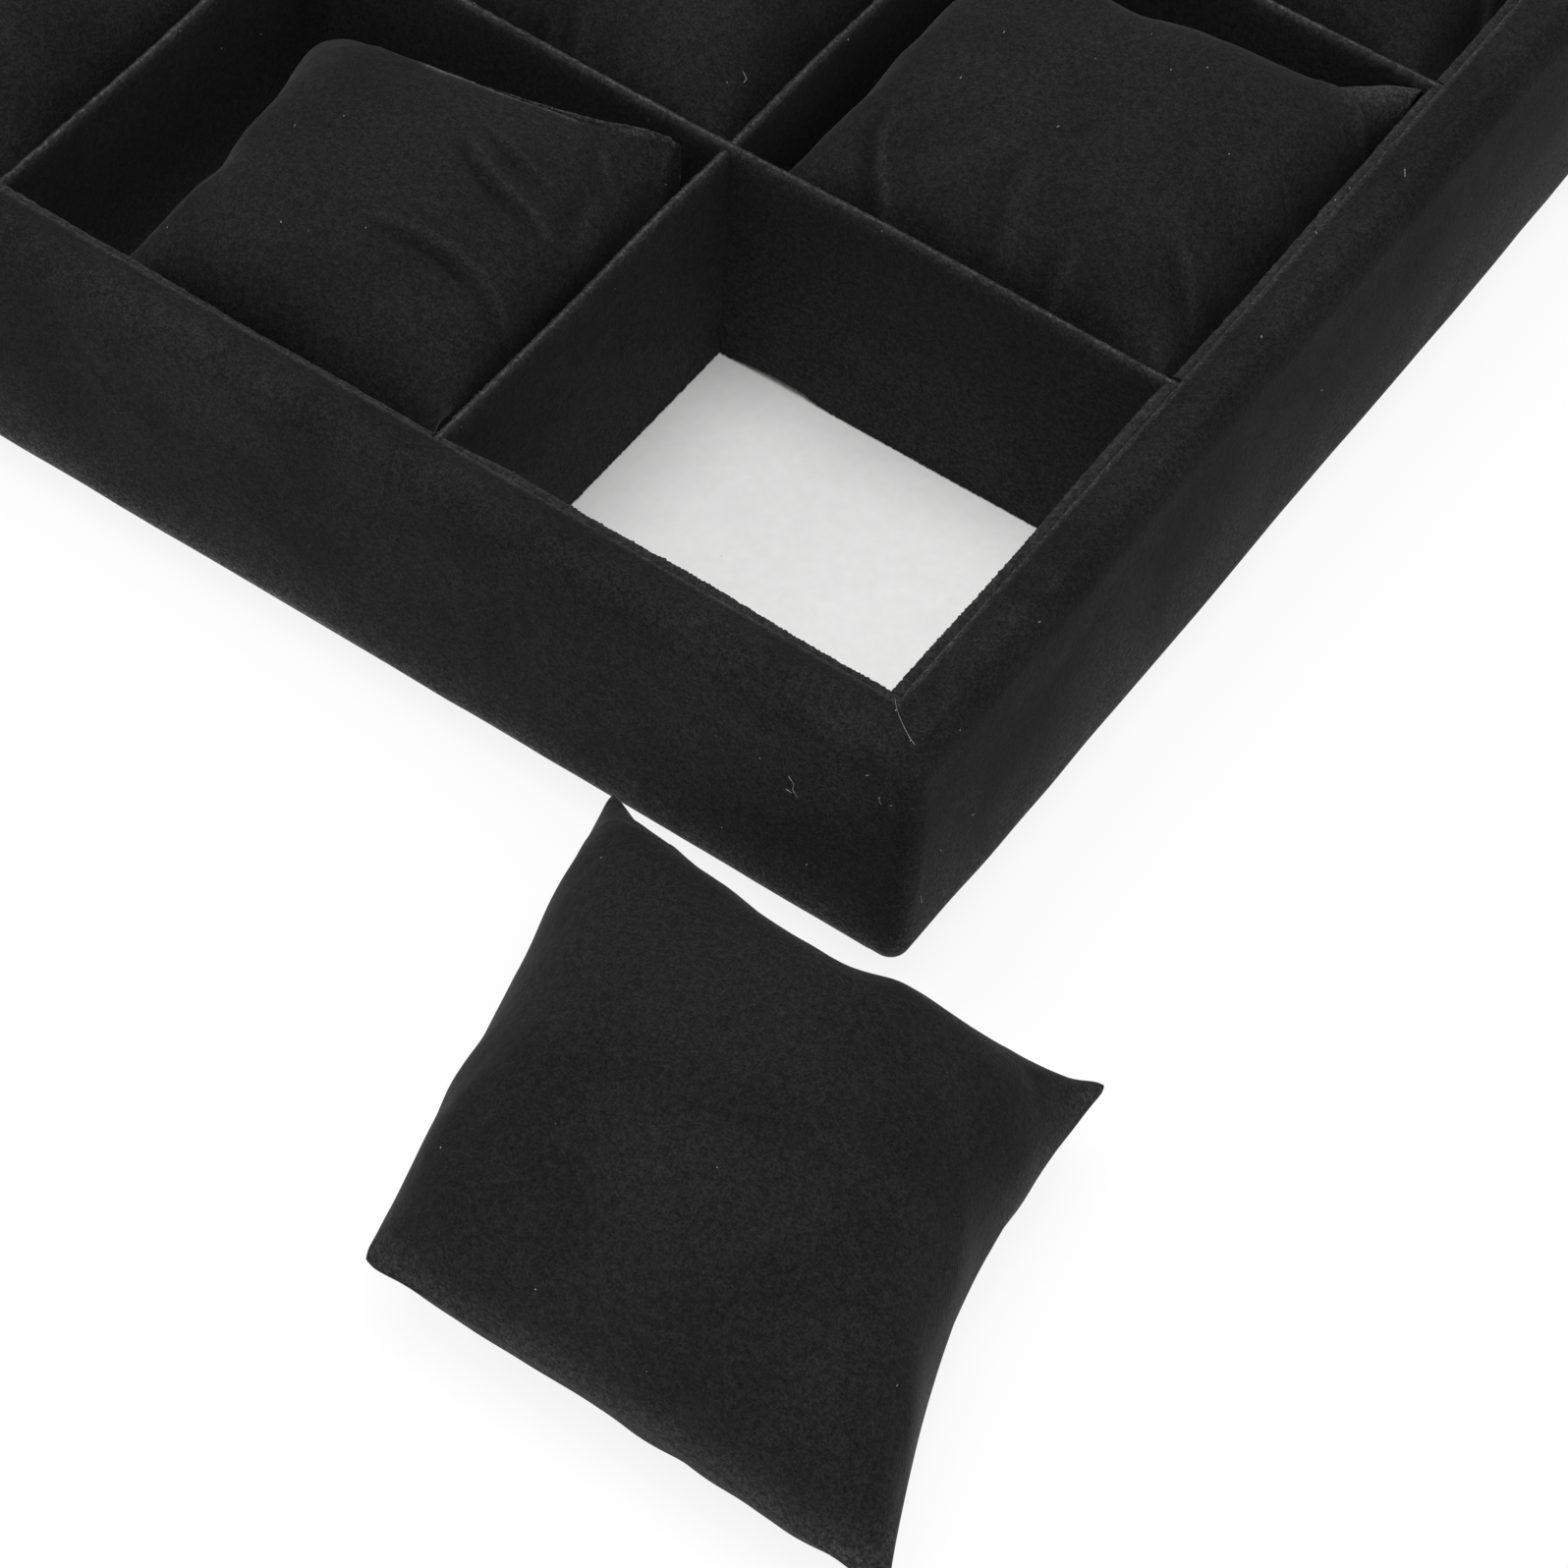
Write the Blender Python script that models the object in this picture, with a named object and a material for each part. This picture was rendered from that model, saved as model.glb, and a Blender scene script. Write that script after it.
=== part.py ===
"""Black velvet watch display tray: a grid of cushioned cells inside padded, mitred rails.

Lengths are in metres. The tray stands on z = 0, its long side runs along X, and the middle
of its underside is the origin. One cell at the front right corner is empty: its cushion has
been lifted out and lies on the same surface, in front of that corner.
"""

import math

import bmesh
import bpy
from mathutils import Matrix, Vector

# Clearance between pieces that touch
SEAT_GAP = 0.0003

# Cell grid, measured between the inner faces of the rails
COLUMNS = 4
ROWS = 3
END_COLUMN = 0.0824
MIDDLE_COLUMN = 0.0832
END_ROW = 0.0763
MIDDLE_ROW = 0.0781
CELL_DEPTH = 0.0477
EMPTY_CELL = (0, COLUMNS - 1)

# Base board under the whole tray, and the white card that shows in the empty cell
BOARD_THICKNESS = 0.0025
BOARD_LAP = 0.005
BOARD_CORNER_RADIUS = 0.003
CARD_THICKNESS = 0.0005

# Rail section: low at the inner edge, crowned towards the outside, rounded at the foot
RAIL_TOP_WIDTH = 0.0098
RAIL_FOOT_WIDTH = 0.0104
RAIL_TOP_SLOPE = math.radians(34)
RAIL_INNER_RADIUS = 0.0016
RAIL_CROWN_RADIUS = 0.0045
RAIL_FOOT_RADIUS = 0.0083
RAIL_CORNER_RADIUS = 0.003

# Velvet wrapped round each rail; its two raw edges nearly meet underneath
COVER_THICKNESS = 0.0012
COVER_SLIT = 0.0006

# Liner boards that stand against the rails and carry the ends of the dividers
LINER_THICKNESS = 0.0025
LINER_DROP = 0.0012
LINER_EDGE_RADIUS = 0.0007

# Dividers, which cross in half-depth slots and hook into notches in the liners
DIVIDER_THICKNESS = 0.0016
DIVIDER_EDGE_RADIUS = 0.0004
SHORT_DIVIDER_DROP = 0.0007

# Cushions in the cells
CUSHION_WALL_GAP = 0.0006
CUSHION_CROWN_ABOVE_EDGE = 0.005
CUSHION_SEAM_HEIGHT = 0.020
CUSHION_BELLY = 0.034
CUSHION_SIDE_PULL = 0.035
CUSHION_STEPS = 8

# The cushion that has been lifted out; each pull draws the middle of one side inwards
LOOSE_WIDTH = 0.0860
LOOSE_LENGTH = 0.0875
LOOSE_SKEW = math.radians(13)
LOOSE_HEIGHT = 0.044
LOOSE_SEAM_HEIGHT = 0.016
LOOSE_BELLY = 0.026
LOOSE_TRAY_GAP = 0.0035
LOOSE_OVERHANG = 0.0045
LOOSE_LEFT_PULL = 0.02
LOOSE_RIGHT_PULL = 0.16
LOOSE_FRONT_PULL = 0.04
LOOSE_BACK_PULL = 0.16

ARC_STEPS = 5
MITRE_STEPS = 3

# Heights and half-sizes that follow from the values above
FLOOR_Z = BOARD_THICKNESS + SEAT_GAP + CARD_THICKNESS
RAIL_EDGE_Z = FLOOR_Z + CELL_DEPTH
RAIL_BOTTOM_Z = BOARD_THICKNESS + SEAT_GAP
INSERT_BOTTOM_Z = FLOOR_Z + SEAT_GAP
LINER_TOP_Z = RAIL_EDGE_Z - LINER_DROP
LAP_Z = (INSERT_BOTTOM_Z + LINER_TOP_Z) / 2
LINER_FACE = SEAT_GAP + LINER_THICKNESS
INNER_HALF_X = END_COLUMN + MIDDLE_COLUMN * (COLUMNS - 2) / 2
INNER_HALF_Y = END_ROW + MIDDLE_ROW * (ROWS - 2) / 2


def clear_scene():
    for item in list(bpy.data.objects):
        bpy.data.objects.remove(item, do_unlink=True)


def make_material(name, color, roughness, sheen=0.0):
    material = bpy.data.materials.new(name)
    material.use_nodes = True
    shader = material.node_tree.nodes["Principled BSDF"]
    shader.inputs["Base Color"].default_value = (*color, 1.0)
    shader.inputs["Roughness"].default_value = roughness
    shader.inputs["Metallic"].default_value = 0.0
    shader.inputs["Sheen Weight"].default_value = sheen
    material.diffuse_color = (*color, 1.0)
    return material


def add_object(name, bm, material, smooth_angle=math.radians(35)):
    """Turn a bmesh into a named object with outward faces and its own copy of a material."""
    bmesh.ops.recalc_face_normals(bm, faces=bm.faces)
    if bm.calc_volume(signed=True) < 0:
        bmesh.ops.reverse_faces(bm, faces=bm.faces)
    mesh = bpy.data.meshes.new(name)
    bm.to_mesh(mesh)
    bm.free()
    mesh.materials.append(material.copy())
    mesh.shade_smooth()
    mesh.set_sharp_from_angle(angle=smooth_angle)
    item = bpy.data.objects.new(name, mesh)
    bpy.context.scene.collection.objects.link(item)
    return item


def add_bevel(item, width, segments=2):
    bevel = item.modifiers.new("rounded_edges", "BEVEL")
    bevel.width = width
    bevel.segments = segments
    bevel.limit_method = "ANGLE"
    bevel.angle_limit = math.radians(60)


def divider_lines(count, inner_half, end_pitch, middle_pitch):
    """Middles of the dividers between count cells, measured from the tray's middle."""
    return [-inner_half + end_pitch + step * middle_pitch for step in range(count - 1)]


COLUMN_LINES = divider_lines(COLUMNS, INNER_HALF_X, END_COLUMN, MIDDLE_COLUMN)
ROW_LINES = divider_lines(ROWS, INNER_HALF_Y, END_ROW, MIDDLE_ROW)


def cell_span(index, lines, inner_half):
    """Clear span of one cell between its two walls, as (low, high)."""
    wall = DIVIDER_THICKNESS / 2
    low = lines[index - 1] + wall if index > 0 else -inner_half + LINER_FACE
    high = lines[index] - wall if index < len(lines) else inner_half - LINER_FACE
    return low, high


def rounded_outline(corners, steps=ARC_STEPS):
    """Outline through (x, y, radius) corners, each corner with a radius replaced by an arc."""
    points = []
    for index, (x, y, radius) in enumerate(corners):
        corner = Vector((x, y))
        back = (Vector(corners[index - 1][:2]) - corner).normalized()
        ahead = (Vector(corners[(index + 1) % len(corners)][:2]) - corner).normalized()
        if radius <= 0:
            points.append(corner)
            continue
        half_angle = back.angle(ahead) / 2
        centre = corner + (back + ahead).normalized() * (radius / math.sin(half_angle))
        start = corner + back * (radius / math.tan(half_angle)) - centre
        end = corner + ahead * (radius / math.tan(half_angle)) - centre
        turn = math.atan2(start.x * end.y - start.y * end.x, start.dot(end))
        for step in range(steps + 1):
            points.append(centre + Matrix.Rotation(turn * step / steps, 2) @ start)
    return points


def inset_corners(corners, inset):
    """Move every side of a clockwise outline inwards, and shrink its radii to match."""
    moved = []
    for index, (x, y, radius) in enumerate(corners):
        corner = Vector((x, y))
        arriving = (corner - Vector(corners[index - 1][:2])).normalized()
        leaving = (Vector(corners[(index + 1) % len(corners)][:2]) - corner).normalized()
        inward_a = Vector((arriving.y, -arriving.x))
        inward_b = Vector((leaving.y, -leaving.x))
        shift = (inward_a + inward_b) * (inset / (1 + inward_a.dot(inward_b)))
        moved.append((x + shift.x, y + shift.y, max(radius - inset, 0.0)))
    return moved


def rail_corners():
    """Corners of the rail's section: distance out from the inner face, height, radius."""
    outer_top_z = RAIL_EDGE_Z + RAIL_TOP_WIDTH * math.tan(RAIL_TOP_SLOPE)
    lip_end = COVER_THICKNESS + COVER_SLIT
    foot_radius = min(RAIL_FOOT_RADIUS, RAIL_FOOT_WIDTH - lip_end - SEAT_GAP)
    return [
        (0.0, RAIL_BOTTOM_Z, 0.0),
        (0.0, RAIL_EDGE_Z, RAIL_INNER_RADIUS),
        (RAIL_TOP_WIDTH, outer_top_z, RAIL_CROWN_RADIUS),
        (RAIL_FOOT_WIDTH, RAIL_BOTTOM_Z, foot_radius),
    ]


def cover_section():
    """Open loop of velvet round a rail, with its slit under the rail's inner edge."""
    lip_end = COVER_THICKNESS + COVER_SLIT
    outside = rounded_outline(rail_corners())
    inside = rounded_outline(inset_corners(rail_corners(), COVER_THICKNESS))
    lip = [
        Vector((lip_end, RAIL_BOTTOM_Z)),
        Vector((lip_end, RAIL_BOTTOM_Z + COVER_THICKNESS)),
    ]
    flap_end = [Vector((COVER_THICKNESS, RAIL_BOTTOM_Z))]
    return outside + lip + inside[:0:-1] + flap_end


def core_section():
    return rounded_outline(inset_corners(rail_corners(), COVER_THICKNESS + SEAT_GAP))


def mitred_rail(name, section, half_length, reach, turn, material):
    """Loft a section along one side of the tray and round to the mitre at both ends.

    The rail is built along X in front of the middle, then turned about Z to its own side.
    """
    setback = SEAT_GAP / math.sqrt(2)
    angles = [math.radians(45) * step / MITRE_STEPS for step in range(MITRE_STEPS + 1)]
    stations = [(-1, angle) for angle in reversed(angles)] + [(1, angle) for angle in angles]
    bm = bmesh.new()
    rings = []
    for side, angle in stations:
        ring = []
        for out, height in section:
            radius = RAIL_CORNER_RADIUS * out / RAIL_FOOT_WIDTH
            along = half_length + out - radius * (1 - math.sin(angle)) - setback
            away = reach + out - radius * (1 - math.cos(angle))
            ring.append(bm.verts.new((side * along, -away, height)))
        rings.append(ring)
    for ring, following in zip(rings, rings[1:]):
        for index in range(len(section)):
            after = (index + 1) % len(section)
            bm.faces.new((ring[index], ring[after], following[after], following[index]))
    bm.faces.new(rings[0])
    bm.faces.new(rings[-1])
    bmesh.ops.rotate(bm, verts=bm.verts, matrix=Matrix.Rotation(turn, 3, "Z"))
    return add_object(name, bm, material)


def flat_panel(name, outline, low_z, thickness, material):
    """Board or card lying flat, from an outline in X and Y."""
    bm = bmesh.new()
    base = bm.faces.new([bm.verts.new((x, y, low_z)) for x, y in outline])
    raised = bmesh.ops.extrude_face_region(bm, geom=[base])["geom"]
    top = [item for item in raised if isinstance(item, bmesh.types.BMVert)]
    bmesh.ops.translate(bm, verts=top, vec=(0, 0, thickness))
    return add_object(name, bm, material)


def standing_panel(name, outline, thickness, centre, turn, edge_radius, material):
    """Board standing on edge, from an outline in its own length and in Z."""
    bm = bmesh.new()
    front = bm.faces.new([bm.verts.new((x, -thickness / 2, z)) for x, z in outline])
    moved = bmesh.ops.extrude_face_region(bm, geom=[front])["geom"]
    back = [item for item in moved if isinstance(item, bmesh.types.BMVert)]
    bmesh.ops.translate(bm, verts=back, vec=(0, thickness, 0))
    bmesh.ops.rotate(bm, verts=bm.verts, matrix=Matrix.Rotation(turn, 3, "Z"))
    bmesh.ops.translate(bm, verts=bm.verts, vec=(centre[0], centre[1], 0))
    item = add_object(name, bm, material)
    add_bevel(item, edge_radius)
    return item


def slot_width():
    return DIVIDER_THICKNESS + 2 * SEAT_GAP


def notched_top(lines, half_length, top_z, notch_z):
    """Top edge from left to right, with a notch down to notch_z at each line."""
    edge = [(-half_length, top_z)]
    for line in lines:
        left = line - slot_width() / 2
        right = line + slot_width() / 2
        edge += [(left, top_z), (left, notch_z), (right, notch_z), (right, top_z)]
    return edge + [(half_length, top_z)]


def make_liners(material):
    """Four liner boards; the long pair runs the full length, the short pair fits between."""
    long_half = INNER_HALF_X - SEAT_GAP
    short_half = INNER_HALF_Y - LINER_FACE - SEAT_GAP
    middle_x = INNER_HALF_X - SEAT_GAP - LINER_THICKNESS / 2
    middle_y = INNER_HALF_Y - SEAT_GAP - LINER_THICKNESS / 2
    quarter = math.radians(90)
    sides = [
        ("liner_front", long_half, COLUMN_LINES, (0.0, -middle_y), 0.0),
        ("liner_back", long_half, COLUMN_LINES, (0.0, middle_y), 0.0),
        ("liner_left", short_half, ROW_LINES, (-middle_x, 0.0), quarter),
        ("liner_right", short_half, ROW_LINES, (middle_x, 0.0), quarter),
    ]
    for name, half, lines, centre, turn in sides:
        outline = notched_top(lines, half, LINER_TOP_Z, LAP_Z)
        outline += [(half, INSERT_BOTTOM_Z), (-half, INSERT_BOTTOM_Z)]
        standing_panel(
            name, outline, LINER_THICKNESS, centre, turn, LINER_EDGE_RADIUS, material
        )


def hooked_ends(inner_half, top_z):
    """Right end of a divider, top to bottom: a hook over the liner's notch, then its face."""
    hook = inner_half - SEAT_GAP
    face = inner_half - LINER_FACE - SEAT_GAP
    hook_z = LAP_Z + SEAT_GAP
    return [(hook, top_z), (hook, hook_z), (face, hook_z), (face, INSERT_BOTTOM_Z)]


def long_divider_outline():
    """Divider along X, unbroken at the top, with slots open at the bottom."""
    right_end = hooked_ends(INNER_HALF_X, LINER_TOP_Z)
    slot_top = LAP_Z + SEAT_GAP / 2
    bottom = []
    for line in reversed(COLUMN_LINES):
        right = line + slot_width() / 2
        left = line - slot_width() / 2
        bottom += [(right, INSERT_BOTTOM_Z), (right, slot_top)]
        bottom += [(left, slot_top), (left, INSERT_BOTTOM_Z)]
    left_end = [(-x, z) for x, z in reversed(right_end)]
    return right_end + bottom + left_end


def short_divider_outline():
    """Divider along Y, with slots open at the top where the long dividers pass."""
    top_z = LINER_TOP_Z - SHORT_DIVIDER_DROP
    right_end = hooked_ends(INNER_HALF_Y, top_z)
    left_end = [(-x, z) for x, z in reversed(right_end)]
    top = notched_top(ROW_LINES, right_end[0][0], top_z, LAP_Z - SEAT_GAP / 2)
    return top[:-1] + right_end + left_end[:-1]


def make_dividers(material):
    long_names = ("long_divider_front", "long_divider_back")
    for number, y in enumerate(ROW_LINES):
        name = long_names[number] if ROWS == 3 else f"long_divider_{number + 1}"
        standing_panel(
            name, long_divider_outline(), DIVIDER_THICKNESS, (0.0, y), 0.0,
            DIVIDER_EDGE_RADIUS, material,
        )
    short_names = ("short_divider_left", "short_divider_middle", "short_divider_right")
    for number, x in enumerate(COLUMN_LINES):
        name = short_names[number] if COLUMNS == 4 else f"short_divider_{number + 1}"
        standing_panel(
            name, short_divider_outline(), DIVIDER_THICKNESS, (x, 0.0), math.radians(90),
            DIVIDER_EDGE_RADIUS, material,
        )


def make_rails(cover_material, core_material):
    quarter = math.radians(90)
    sides = [
        ("front", INNER_HALF_X, INNER_HALF_Y, 0),
        ("right", INNER_HALF_Y, INNER_HALF_X, quarter),
        ("back", INNER_HALF_X, INNER_HALF_Y, 2 * quarter),
        ("left", INNER_HALF_Y, INNER_HALF_X, 3 * quarter),
    ]
    for side, half_length, reach, turn in sides:
        mitred_rail(
            f"rail_core_{side}", core_section(), half_length, reach, turn, core_material
        )
        mitred_rail(
            f"rail_cover_{side}", cover_section(), half_length, reach, turn, cover_material
        )


def make_base(board_material, card_material):
    half_x = INNER_HALF_X + BOARD_LAP
    half_y = INNER_HALF_Y + BOARD_LAP
    board = [
        (-half_x, -half_y, BOARD_CORNER_RADIUS),
        (-half_x, half_y, BOARD_CORNER_RADIUS),
        (half_x, half_y, BOARD_CORNER_RADIUS),
        (half_x, -half_y, BOARD_CORNER_RADIUS),
    ]
    flat_panel("base_board", rounded_outline(board), 0.0, BOARD_THICKNESS, board_material)
    card_x = INNER_HALF_X - SEAT_GAP
    card_y = INNER_HALF_Y - SEAT_GAP
    card = [(-card_x, -card_y), (-card_x, card_y), (card_x, card_y), (card_x, -card_y)]
    flat_panel(
        "floor_card", card, BOARD_THICKNESS + SEAT_GAP, CARD_THICKNESS, card_material
    )


def crown(u, v):
    """Fullness of a cushion at (u, v), 1 in the middle and 0 along its seam."""
    return math.sqrt((1 - u ** 4) * (1 - v ** 4))


def outward_triangles(i, j):
    """Halve a grid square along the diagonal that runs away from the cushion's middle."""
    a, b, c, d = (i, j), (i + 1, j), (i + 1, j + 1), (i, j + 1)
    if (2 * i + 1 > CUSHION_STEPS) == (2 * j + 1 > CUSHION_STEPS):
        return (a, b, c), (a, c, d)
    return (a, b, d), (b, c, d)


def cushion(name, middle, side_x, side_y, heights, side_pulls, material):
    """Stuffed cushion: two crowned faces that meet in a seam, flat where it rests.

    side_x and side_y are vectors from the middle to the middles of the right and back
    sides. heights holds the bottom, the seam, the summit and how far the belly would hang
    below the seam if nothing held it up. side_pulls holds how far the left, right, front
    and back sides are drawn in at their middles, as shares of the half-size.
    """
    bottom_z, seam_z, top_z, belly = heights
    left_pull, right_pull, front_pull, back_pull = side_pulls
    levels = [math.sin(math.pi / 2 * (2 * k / CUSHION_STEPS - 1))
              for k in range(CUSHION_STEPS + 1)]
    bm = bmesh.new()
    upper, lower = {}, {}
    for i, u in enumerate(levels):
        for j, v in enumerate(levels):
            across = u * (1 - (left_pull if u < 0 else right_pull) * (1 - v * v))
            along = v * (1 - (front_pull if v < 0 else back_pull) * (1 - u * u))
            spot = middle + side_x * across + side_y * along
            full = crown(u, v)
            seam = bm.verts.new((spot.x, spot.y, seam_z + (top_z - seam_z) * full))
            upper[i, j] = lower[i, j] = seam
            if 0 < i < CUSHION_STEPS and 0 < j < CUSHION_STEPS:
                hang = max(bottom_z, seam_z - belly * full)
                lower[i, j] = bm.verts.new((spot.x, spot.y, hang))
    for i in range(CUSHION_STEPS):
        for j in range(CUSHION_STEPS):
            for corners in outward_triangles(i, j):
                bm.faces.new([upper[corner] for corner in corners])
                bm.faces.new([lower[corner] for corner in reversed(corners)])
    return add_object(name, bm, material, math.radians(70))


def make_cell_cushions(material):
    row_names = ("front", "middle", "back")
    heights = (
        FLOOR_Z + SEAT_GAP,
        FLOOR_Z + CUSHION_SEAM_HEIGHT,
        RAIL_EDGE_Z + CUSHION_CROWN_ABOVE_EDGE,
        CUSHION_BELLY,
    )
    for row in range(ROWS):
        for column in range(COLUMNS):
            if (row, column) == EMPTY_CELL:
                continue
            low_x, high_x = cell_span(column, COLUMN_LINES, INNER_HALF_X)
            low_y, high_y = cell_span(row, ROW_LINES, INNER_HALF_Y)
            middle = Vector(((low_x + high_x) / 2, (low_y + high_y) / 2, 0))
            side_x = Vector(((high_x - low_x) / 2 - CUSHION_WALL_GAP, 0, 0))
            side_y = Vector((0, (high_y - low_y) / 2 - CUSHION_WALL_GAP, 0))
            row_name = row_names[row] if ROWS == 3 else f"row_{row + 1}"
            cushion(
                f"cushion_{row_name}_{column + 1}", middle, side_x, side_y, heights,
                (CUSHION_SIDE_PULL,) * 4, material,
            )


def make_loose_cushion(material):
    """The cushion of the empty cell, lying flat in front of the tray's front right corner."""
    lean = Vector((-math.sin(LOOSE_SKEW), math.cos(LOOSE_SKEW), 0))
    side_x = Vector((LOOSE_WIDTH / 2, 0, 0))
    side_y = lean * (LOOSE_LENGTH / 2)
    front_face = -(INNER_HALF_Y + RAIL_FOOT_WIDTH)
    outer_x = INNER_HALF_X + RAIL_FOOT_WIDTH
    middle = Vector((outer_x + LOOSE_OVERHANG, front_face - LOOSE_TRAY_GAP - side_y.y, 0))
    heights = (0.0, LOOSE_SEAM_HEIGHT, LOOSE_HEIGHT, LOOSE_BELLY)
    side_pulls = (LOOSE_LEFT_PULL, LOOSE_RIGHT_PULL, LOOSE_FRONT_PULL, LOOSE_BACK_PULL)
    cushion("cushion_lifted_out", middle, side_x, side_y, heights, side_pulls, material)


def main():
    clear_scene()
    velvet = make_material("black_velvet", (0.0125, 0.0125, 0.013), 0.95, 0.35)
    cushion_velvet = make_material("cushion_velvet", (0.014, 0.014, 0.0145), 0.95, 0.4)
    fibreboard = make_material("fibreboard", (0.34, 0.22, 0.12), 0.8)
    black_paper = make_material("black_paper", (0.012, 0.012, 0.012), 0.7)
    white_card = make_material("white_card", (0.74, 0.74, 0.73), 0.6)
    make_base(black_paper, white_card)
    make_rails(velvet, fibreboard)
    make_liners(velvet)
    make_dividers(velvet)
    make_cell_cushions(cushion_velvet)
    make_loose_cushion(cushion_velvet)


main()
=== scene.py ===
"""Looks of the black velvet watch display tray: padded rails, fuzzy boards, filled cushions."""

import math

import bmesh
import bpy
import numpy as np
from mathutils import Matrix, Quaternion, Vector
from mathutils.kdtree import KDTree


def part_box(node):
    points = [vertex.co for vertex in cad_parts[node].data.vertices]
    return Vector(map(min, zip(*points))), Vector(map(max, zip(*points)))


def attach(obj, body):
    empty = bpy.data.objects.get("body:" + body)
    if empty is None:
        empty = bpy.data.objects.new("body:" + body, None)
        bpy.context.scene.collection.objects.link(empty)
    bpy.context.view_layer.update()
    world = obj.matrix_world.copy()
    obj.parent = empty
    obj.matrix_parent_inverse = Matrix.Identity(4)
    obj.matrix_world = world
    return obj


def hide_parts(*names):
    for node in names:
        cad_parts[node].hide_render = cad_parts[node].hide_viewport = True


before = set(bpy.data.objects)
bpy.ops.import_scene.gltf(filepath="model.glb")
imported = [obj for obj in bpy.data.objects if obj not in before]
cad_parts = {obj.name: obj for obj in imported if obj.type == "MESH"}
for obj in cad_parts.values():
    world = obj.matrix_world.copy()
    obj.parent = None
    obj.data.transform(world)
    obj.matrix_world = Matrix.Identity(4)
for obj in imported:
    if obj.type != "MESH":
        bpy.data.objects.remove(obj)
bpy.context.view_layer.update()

# Camera, in the frame of the photograph
PHOTO_SIZE = 1596
CAMERA_PLACE = Vector((0.37418, -0.49189, 0.59483))
CAMERA_TARGET = Vector((0.160546, -0.136161, 0.051))
CAMERA_ROLL = math.radians(4.723)
CAMERA_LENS = 113.775
CAMERA_SENSOR = 36.0
CAMERA_AHEAD = (CAMERA_TARGET - CAMERA_PLACE).normalized()
CAMERA_TURN = CAMERA_AHEAD.to_track_quat("-Z", "Y") @ Quaternion((0, 0, 1), CAMERA_ROLL)
FOCAL_PIXELS = CAMERA_LENS / CAMERA_SENSOR * PHOTO_SIZE

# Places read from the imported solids
INNER_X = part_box("floor_card")[1].x + 0.0003
INNER_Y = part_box("floor_card")[1].y + 0.0003
RAIL_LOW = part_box("rail_cover_front")[0].z
LINER_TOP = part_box("liner_front")[1].z
BOARD_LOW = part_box("liner_front")[0].z
COLUMNS = [sum(corner.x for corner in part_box(f"short_divider_{side}")) / 2
           for side in ("left", "middle", "right")]
ROWS = [sum(corner.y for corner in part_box(f"long_divider_{side}")) / 2
        for side in ("front", "back")]
RAIL_EDGE = LINER_TOP + 0.0012
LAP = (BOARD_LOW + LINER_TOP) / 2
SEAT_GAP = 0.0003
SIDES = ("front", "right", "back", "left")

# Rail section: distance out from the inner face, height above the foot, radius
RAIL_TOP_WIDTH = 0.0098
RAIL_FOOT_WIDTH = 0.0104
RAIL_TOP_SLOPE = math.radians(34)
RAIL_INNER_RADIUS = 0.0016
RAIL_CROWN_RADIUS = 0.0045
RAIL_FOOT_RADIUS = 0.0083
RAIL_CORNER_RADIUS = 0.003
COVER_THICKNESS = 0.0012
COVER_SLIT = 0.0006
SECTION_SPACING = 0.0009
STATION_SPACING = 0.0024
CORNER_STEPS = 14

# Softness of the padding under the velvet
PADDING_WAVE = 0.042
PADDING_DEPTH = 0.00028
RIPPLE_WAVE = 0.013
RIPPLE_DEPTH = 0.00007
MITRE_DEPTH = 0.00045
MITRE_WIDTH = 0.0008
MITRE_REACH = 0.0083
WALL_BULGE = 0.0008
LIP_REACH = 0.0009
LIP_WIDTH = 0.005
# Painted light and shade on the velvet: level where the painted glow along the rail foot starts to
# fade, its rim (strength, fade) and band (strength, fade along front and back, along the sides),
# painted shade on the upper side walls, and painted bounce light low in the cells
FOOT_GLOW_LEVEL = 0.0066
FOOT_GLOW_RIM = (4.6, 0.0014)
FOOT_GLOW_BAND = (0.95, 0.0058, 0.0100)
WALL_SHADE = 0.07
DEEP_PAINTED_LIGHT = 0.38

# Boards: liners and dividers
LINER_THICKNESS = 0.0025
DIVIDER_THICKNESS = 0.0016
SHORT_DIVIDER_DROP = 0.0007
SLOT_GAP = 0.0001
HALF_SLOT = DIVIDER_THICKNESS / 2 + SLOT_GAP
SLOT_EDGE = 0.00006
LINER_BOW = 0.0005
WEDGE_RISE = 0.0012
FUZZ_DEPTH = 0.00013
FUZZ_WAVE = 0.0005
FINE_SPACING = 0.00028
COARSE_SPACING = 0.0012
BOARD_TOP_STEPS = 6

# Cushions: cut size of their flat cases, and how they sit in the cells
SIM_SCALE = 5.0
PILLOW_STEPS = 38
CASE_SIZE = (0.100, 0.094)
CASE_CORNER = 0.003
CASE_LIFT = 0.004
CASE_KINDS = ((5, 6.0), (12, 8.0), (23, 7.0), (31, 6.5))
CASE_FRAMES = 24
CLOTH = {"quality": 5, "mass": 0.15, "tension_stiffness": 25, "compression_stiffness": 25,
         "shear_stiffness": 12, "bending_stiffness": 0.15, "use_pressure": True}
RELAX_STEPS = 6
CELL_SEAM = 0.028
CELL_CROWN = 0.0052
CELL_SQUEEZE = 8
CELL_PULLS = (0.05, 0.06, 0.05, 0.06)
SIDE_CURVE = 1.7
WALL_GAP = 0.0009
CELL_FILL = (0.90, 0.92)
SHOULDER = 1.28
FOLD_PAINTED_LIGHT = 230
LOOSE_SKEW = math.radians(13)
LOOSE_SEAM = 0.016
LOOSE_TOP = 0.0435
LOOSE_PULLS = (0.02, 0.16, 0.04, 0.30)
LOOSE_SHOULDER = 1.02
LOOSE_GROWTH = 1.012
# Painted glint along the whole seam of the loose cushion: width and amount
LOOSE_GLINT = (0.0045, 0.5)

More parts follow.
